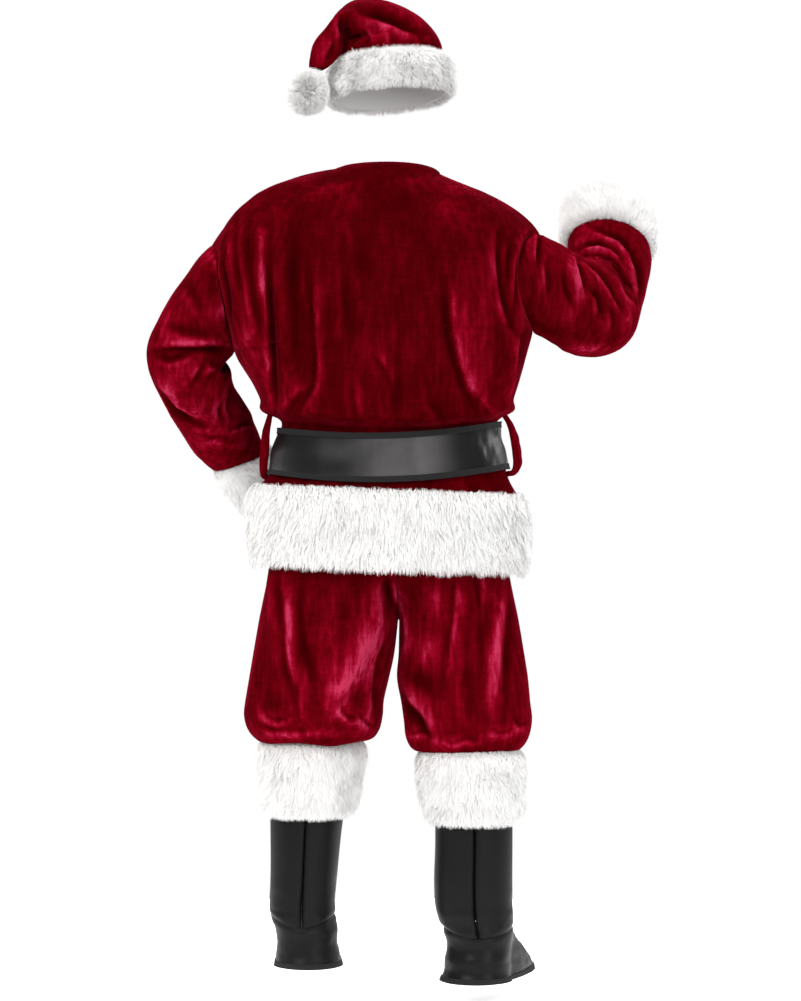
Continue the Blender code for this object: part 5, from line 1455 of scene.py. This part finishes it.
def make_belt():
    """Strap, tapes, buckle and the two loops that carry them."""
    half = BELT_HEIGHT / 2
    turn = finer(np.linspace(BELT_START, BELT_START + 1 + BELT_LAP, BELT_COLUMNS + 1), 5)
    lapped = eased((turn - BELT_START - 1 + BELT_LAP) / BELT_LAP)
    edge = half - BELT_TAPE_HEIGHT
    for name, low, high, rows, start, thick, cloth_of, slot, flat in (
        ("belt_strap", -half, half, 30, 0.0, PVC, BELT_VINYL, "black_vinyl", (1.28, BELT_HEIGHT)),
        ("belt_binding_top", edge, half, 6, PVC + LAYER_GAP, TAPE, TAPE_CLOTH, "black_tape", (1.28, 0.011)),
        ("belt_binding_bottom", -half, -edge, 6, PVC + LAYER_GAP, TAPE, TAPE_CLOTH, "black_tape",
         (1.28, 0.011)),
    ):
        cloth, outward = belt_grid(turn, np.linspace(low, high, rows + 1))
        lift = BELT_CLEARANCE + start + lapped * (PVC + TAPE + 2 * LAYER_GAP)
        inner = cloth + outward * lift[:, None]
        wrinkle = noise(inner, (0.05, 0.05, 0.03), 12) * 0.0008
        wrinkle = wrinkle + noise(inner, (0.016, 0.016, 0.03), 13) * 0.0004
        near_side = np.exp(-(((inner[..., 0] - CRUMPLE_X) / CRUMPLE_WIDTH) ** 2))
        wrinkle = wrinkle + near_side * noise(inner, (0.008, 0.02, 0.020), 14) * 0.0022
        inner = inner + outward[None] * wrinkle[..., None]
        outer = inner + outward[None] * thick
        facing = turned_out(outer, False)
        inner = inner if facing is outer else inner[:, ::-1]
        outer = facing
        made = add_shell(name + "_cloth", outer, inner, False, cloth_of, [name])
    make_buckle()
    make_loops()


def make_buckle():
    """A plain frame with rounded bars, lying on the strap's lapped ends."""
    wide = BUCKLE_WIDTH / 2 / BELT_ROUND
    tall = BUCKLE_HEIGHT / 2
    steps = 16
    side = np.linspace(-1, 1, steps + 1)[:-1]
    across = np.concatenate([side, np.ones(steps), -side, -np.ones(steps)])
    up = np.concatenate([-np.ones(steps), side, np.ones(steps), -side])
    middle = []
    ways = []
    for x, z in zip(across, up):
        corner = max(abs(x), abs(z))
        soft = (1 - 0.06 * (abs(x * z)) ** 6) / corner
        place = BELT_START + BELT_LAP / 2 + x * soft * (wide - BUCKLE_BAR / 2 / BELT_ROUND)
        cloth, outward = belt_grid(np.array([place]), [z * soft * (tall - BUCKLE_BAR / 2)])
        lift = BELT_CLEARANCE + 2 * PVC + 2 * TAPE + 4 * LAYER_GAP + BUCKLE_THICK / 2
        middle.append(cloth[0, 0] + outward[0] * lift)
        ways.append(outward[0])
    middle = np.array(middle)
    ways = np.array(ways)
    run = unit(np.roll(middle, -1, axis=0) - np.roll(middle, 1, axis=0))
    flat_way = unit(np.cross(run, ways))
    angle = np.linspace(0, 2 * math.pi, 16, endpoint=False)
    bar_x = np.sign(np.cos(angle)) * np.abs(np.cos(angle)) ** 0.5 * BUCKLE_BAR / 2
    bar_y = np.sign(np.sin(angle)) * np.abs(np.sin(angle)) ** 0.6 * BUCKLE_THICK / 2
    rings = middle[:, None] + flat_way[:, None] * bar_x[None, :, None] + ways[:, None] * bar_y[None, :, None]
    rings = np.concatenate([rings, rings[:1]])
    columns = rings.shape[1]
    faces = grid_quads(len(rings), columns, True) % ((len(rings) - 1) * columns)
    made = add_mesh("belt_buckle_frame", rings[:-1].reshape(-1, 3), faces, METAL)
    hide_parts("belt_buckle")


def make_loops():
    """The plush strips over the belt at each side."""
    for side, name, arch in ((-1, "belt_loop_left", LEFT_BELT_LOOP), (1, "belt_loop_right", RIGHT_BELT_LOOP)):
        arch = np.array(arch)
        middle = np.stack([arch[:, 0], np.full(len(arch), LOOP_Y), arch[:, 1]], axis=1)
        middle = through(np.linspace(0, 1, len(arch)), middle, np.linspace(0, 1, 49))
        tuck = unit(middle[[0, -1]] - middle[[1, -2]]) * [[0.010], [0.003]]
        middle = np.concatenate([middle[:1] + tuck[:1], middle, middle[-1:] + tuck[1:]])
        along = unit(np.gradient(middle, axis=0))
        outward = np.stack([-along[:, 2], np.zeros(len(along)), along[:, 0]], axis=1)
        outward *= np.sign(outward[:, :1]) * side
        angle = np.linspace(0, 2 * math.pi, 32, endpoint=False)
        wide = np.sign(np.cos(angle)) * np.abs(np.cos(angle)) ** LOOP_ROUND * LOOP_WIDTH / 2
        thick = np.sign(np.sin(angle)) * np.abs(np.sin(angle)) ** LOOP_ROUND * LOOP_THICK / 2
        thick = thick * LOOP_FULLNESS - LOOP_THICK / 4
        rings = middle[:, None] + outward[:, None] * thick[None, :, None]
        rings[..., 1] += wide[None, :]
        twist = LOOP_TWIST * np.sin(math.pi * np.linspace(0, 1, len(middle)))
        rings[..., 0] += side * twist[:, None] * wide[None, :]
        rings = turned_out(rings, True)
        rings = rings + unit(face_normals(rings, True)) * noise(rings, (0.012,) * 3, 21)[..., None] * 0.0008
        rows, columns = rings.shape[:2]
        ends = [rings[0].mean(axis=0), rings[-1].mean(axis=0)]
        points = np.concatenate([rings.reshape(-1, 3), ends])
        c = np.arange(columns)
        n = (c + 1) % columns
        low = np.full(columns, rows * columns)
        last = (rows - 1) * columns
        caps = [np.stack([n, c, low], axis=1), np.stack([last + c, last + n, low + 1], axis=1)]
        faces = [grid_quads(rows, columns, True), *caps]
        made = add_mesh(name + "_strip", points, faces, PLUSH_CLOTH, np.full(len(points), 0.12))
        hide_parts(name)


def make_breeches():
    """Four leg panels and the waistband."""
    names = (
        ("leg_back_left", -1, -1),
        ("leg_front_left", -1, 1),
        ("leg_back_right", 1, -1),
        ("leg_front_right", 1, 1),
    )
    grids = {name: (turned_out(breeches_panel(side, face), False), False) for name, side, face in names}
    grids = folded(grids, SEAT_FOLDS, FRONT_FOLDS)
    grids, nap_and_painted_light_values = dressed(grids, LEG_CREASES, 1.0)
    for name, (points, closed) in grids.items():
        add_cloth(name, points, closed, PLUSH, PLUSH_CLOTH,
                  nap_and_painted_light_values[name])
    top = HIP_LEVELS[-1]
    angle = np.linspace(0, 2 * math.pi, WAIST_COLUMNS * 8, endpoint=False)
    x = (top.left + top.right) / 2 + (top.right - top.left) / 2 * np.cos(angle)
    y = np.where(np.sin(angle) < 0, top.back, top.front) * np.sin(angle)
    heights = WAIST_Z + np.linspace(0, WAISTBAND_HEIGHT, 17)
    rings = np.array([np.stack([x, y, np.full(len(x), z)], axis=1) for z in heights])
    rings = turned_out(rings, True)
    gathers = 0.0016 * np.sin(angle * 46 + 2.0 * np.sin(angle * 7))[None, :, None]
    rings = rings + unit(face_normals(rings, True)) * gathers
    add_cloth("waistband", rings, True, PLUSH, PLUSH_CLOTH,
              np.full(rings.shape[:2], 0.05))


def make_boot_cover(side, shaft_table, foot_table, fur_top, y, seed):
    """Shaft, foot, tape and fur cuff of one boot cover."""
    strip = np.linspace(-math.pi / 2, 1.5 * math.pi, BOOT_COLUMNS * 8 + 1)
    ring = strip[:-1]
    shaft = boot_rings(shaft_table, y, strip, np.linspace(0, 1, 73))
    foot = boot_rings(foot_table, y, ring, finer(FOOT_SHARES, 8))
    for name, grid, closed, flat, area in (
        ("boot_shaft_" + side, shaft, False, (0.45, 0.20), None),
        ("boot_foot_" + side, foot, True, (0.72, 0.13), 0.070),
    ):
        grid = turned_out(grid, closed)
        normals = unit(face_normals(grid, closed))
        low = eased((shaft_table[2].z - grid[..., 2]) / 0.09)
        wave = noise(grid, (0.05, 0.05, 0.022), seed) * 0.0024 * low
        wave = wave + noise(grid, (0.07, 0.07, 0.14), seed + 1) * 0.0016
        wave = wave + noise(grid, (0.02, 0.02, 0.012), seed + 2) * 0.0007 * low
        keep = eased(edge_distance(grid, closed) / 0.012)
        grid = grid + normals * (wave * keep)[..., None]
        if not closed:
            from_seam = edge_distance(grid, False)[len(grid) // 2]
            groove = np.exp(-((from_seam / BOOT_SEAM_WIDTH) ** 2)) * SEAM_GROOVE
            groove -= np.exp(-(((from_seam - BOOT_LIP_AT) / BOOT_LIP_WIDTH) ** 2)) * SEAM_LIP
            grid = grid - normals * groove[None, :, None]
            grid[:, (0, -1)] = grid[:, (0, -1)].mean(axis=1, keepdims=True)
        made = add_cloth(name, grid, closed, PVC, VINYL)
        if closed:
            tape_low = grid[-13:] if grid[-1, :, 2].mean() < grid[0, :, 2].mean() else grid[:13]
            out = unit(face_normals(tape_low, True))
            inner = tape_low + out * LAYER_GAP
            made = add_shell("boot_tape_" + side + "_cloth", inner + out * TAPE, inner, True, TAPE_CLOTH,
                             ["boot_tape_" + side])
    low = boot_rings(shaft_table, y, ring, [0.0])[0]
    top = boot_rings((fur_top, fur_top), y, ring, [0.0])[0]
    outward = ring_outward(low, top)
    add_fur("boot_fur_" + side, top, low, outward, True, BOOT_PILE, 50000, (0.50, 0.13), "hung",
            ["boot_shaft_" + side], ((3000, 0.011), (0, 0)), length=0.027, width=0.0011, seed=seed + 5,
            lean=0.68, trim=0.85)


def make_hat():
    """Crown with its tail, fur band and pompom."""
    angle = np.linspace(0, 2 * math.pi, HAT_COLUMNS * 8, endpoint=False)
    low = band_ring(math.pi + angle, -BAND_HEIGHT / 2, 1.0)
    top = band_ring(math.pi + angle, BAND_HEIGHT / 2, BAND_TAPER)
    sections = [row._replace(bx=row.bx + TAIL_EASE * (row.ax < -0.10)) for row in HAT_SECTIONS]
    crown = turned_out(tube_rings(sections, angle, HAT_ROWS * 12, top, HAT_BLEND), True)
    grids, nap_and_painted_light_values = dressed({"hat_crown": (crown, True)}, HAT_CREASES, 0.7)
    points, closed = grids["hat_crown"]
    add_cloth("hat_crown", points, closed, PLUSH, PLUSH_CLOTH,
              nap_and_painted_light_values["hat_crown"])
    outward = ring_outward(low, top)
    add_fur("hat_band_fur", top, low, outward, True, BAND_PILE, 42000, (0.66, BAND_HEIGHT), "hung",
            ["hat_crown"], ((5000, 0.015), (0, 0)), length=0.022, width=0.0010, seed=90, lean=0.50, flyaway=0.20)
    shape = bmesh.new()
    bmesh.ops.create_icosphere(shape, subdivisions=5, radius=POMPOM_RADIUS * 0.70)
    bmesh.ops.translate(shape, verts=shape.verts, vec=POMPOM_CENTRE)
    points = np.array([v.co for v in shape.verts])
    faces = np.array([[v.index for v in face.verts] for face in shape.faces])
    shape.free()
    centre = np.array(POMPOM_CENTRE)
    points = centre + (points - centre) * (1 + 0.08 * noise(points, (0.012,) * 3, 33)[:, None])
    # The core under the pompom's strands is painted darker, as shade
    core = add_mesh("hat_pompom_ball", points, faces, FUR, np.full(len(points), 0.4))
    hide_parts("hat_pompom")
    turns = np.linspace(0, 2 * math.pi, 48, endpoint=False)
    tilts = np.linspace(-0.49 * math.pi, 0.49 * math.pi, 25)[:, None]
    flat = np.cos(tilts)
    ball = np.stack([flat * np.cos(turns), flat * np.sin(turns), np.sin(tilts) + turns * 0], axis=-1)
    grid = centre + ball * POMPOM_RADIUS * np.array([0.66, 0.66, 0.74])
    down = np.broadcast_to(np.array([0.0, 0.0, -1.0]), grid.shape)
    add_strands("hat_pompom_pile", grid, ball, down, True, 26000, POMPOM_RADIUS * 0.50, 0.0009, 95, 0.08,
                0.25,
                0.006, 0.0)


def make_stage():
    """Pale floor, soft lights, white surround and the camera."""
    mesh = bpy.data.meshes.new("floor")
    turns = np.linspace(0, 2 * math.pi, 96, endpoint=False)
    rim = [(FLOOR_RADIUS * math.cos(turn), FLOOR_RADIUS * math.sin(turn), FLOOR_Z) for turn in turns]
    mesh.from_pydata(rim, [], [list(range(len(rim)))])
    made, tree, shader = new_material("pale_floor", 0.9, 0.1)
    shader.inputs["Base Color"].default_value = (0.93, 0.93, 0.93, 1.0)
    shader.inputs["Emission Color"].default_value = (1.0, 1.0, 1.0, 1.0)
    shader.inputs["Emission Strength"].default_value = 0.60
    mesh.materials.append(made)
    floor = bpy.data.objects.new("floor", mesh)
    bpy.context.scene.collection.objects.link(floor)
    for name, place, aim, size, power, colour in (
        ("key", (-2.8, -4.0, 2.0), (0.0, 0.0, -0.4), 1.8, 185, (1.0, 0.985, 0.97)),
        ("fill", (2.6, -4.6, 0.4), (0.0, 0.0, -0.7), 2.4, 118, (0.97, 0.985, 1.0)),
        ("top", (0.0, -0.6, 3.4), (0.0, 0.0, -0.6), 3.0, 108, (1.0, 1.0, 1.0)),
        ("left_edge", (-3.4, 1.6, 0.8), (0.0, 0.0, -0.6), 1.6, 80, (1.0, 1.0, 1.0)),
        ("right_edge", (3.4, 1.8, 0.8), (0.0, 0.0, -0.6), 1.6, 80, (1.0, 1.0, 1.0)),
        ("front", (0.0, 4.6, 1.0), (0.0, 0.0, -0.6), 3.0, 110, (1.0, 1.0, 1.0)),
    ):
        data = bpy.data.lights.new(name, "AREA")
        data.size = size
        data.energy = power
        data.color = colour
        light = bpy.data.objects.new(name, data)
        light.location = place
        light.rotation_euler = (Vector(place) - Vector(aim)).to_track_quat("Z", "Y").to_euler()
        bpy.context.scene.collection.objects.link(light)
    world = bpy.data.worlds.new("surround")
    bpy.context.scene.world = world
    world.use_nodes = True
    tree = world.node_tree
    back = tree.nodes["Background"]
    back.inputs["Color"].default_value = (1.0, 1.0, 1.0, 1.0)
    ray = add_node(tree, "LightPath").outputs["Is Camera Ray"]
    strength = add_node(tree, "MapRange", {"Value": ray, 3: 0.68, 4: 1.0}).outputs[0]
    tree.links.new(strength, back.inputs["Strength"])
    data = bpy.data.cameras.new("view")
    data.lens = LENS
    data.sensor_width = 36
    camera = bpy.data.objects.new("view", data)
    camera.location = CAMERA
    camera.rotation_euler = (math.pi / 2, 0, 0)
    bpy.context.scene.collection.objects.link(camera)
    bpy.context.scene.camera = camera
    bpy.context.scene.view_settings.view_transform = "Standard"


PLUSH_CLOTH = plush_material()
FUR = fur_material()
VINYL = vinyl_material("black_soft_vinyl", 0.0030, 0.43, 0.12, 0.0)
# The belt's vinyl gets a painted highlight on its middle; the boots' vinyl gets none
BELT_VINYL = vinyl_material("black_belt_vinyl", 0.0030, 0.42, 0.14, 0.62)
TAPE_CLOTH = tape_material()
METAL = metal_material()

make_stage()
make_jacket()
make_belt()
make_breeches()
make_boot_cover("left", LEFT_SHAFT, LEFT_FOOT, LEFT_BOOT_FUR_TOP, LEFT_BOOT_Y, 70)
make_boot_cover("right", RIGHT_SHAFT, RIGHT_FOOT, RIGHT_BOOT_FUR_TOP, RIGHT_BOOT_Y, 80)
make_hat()
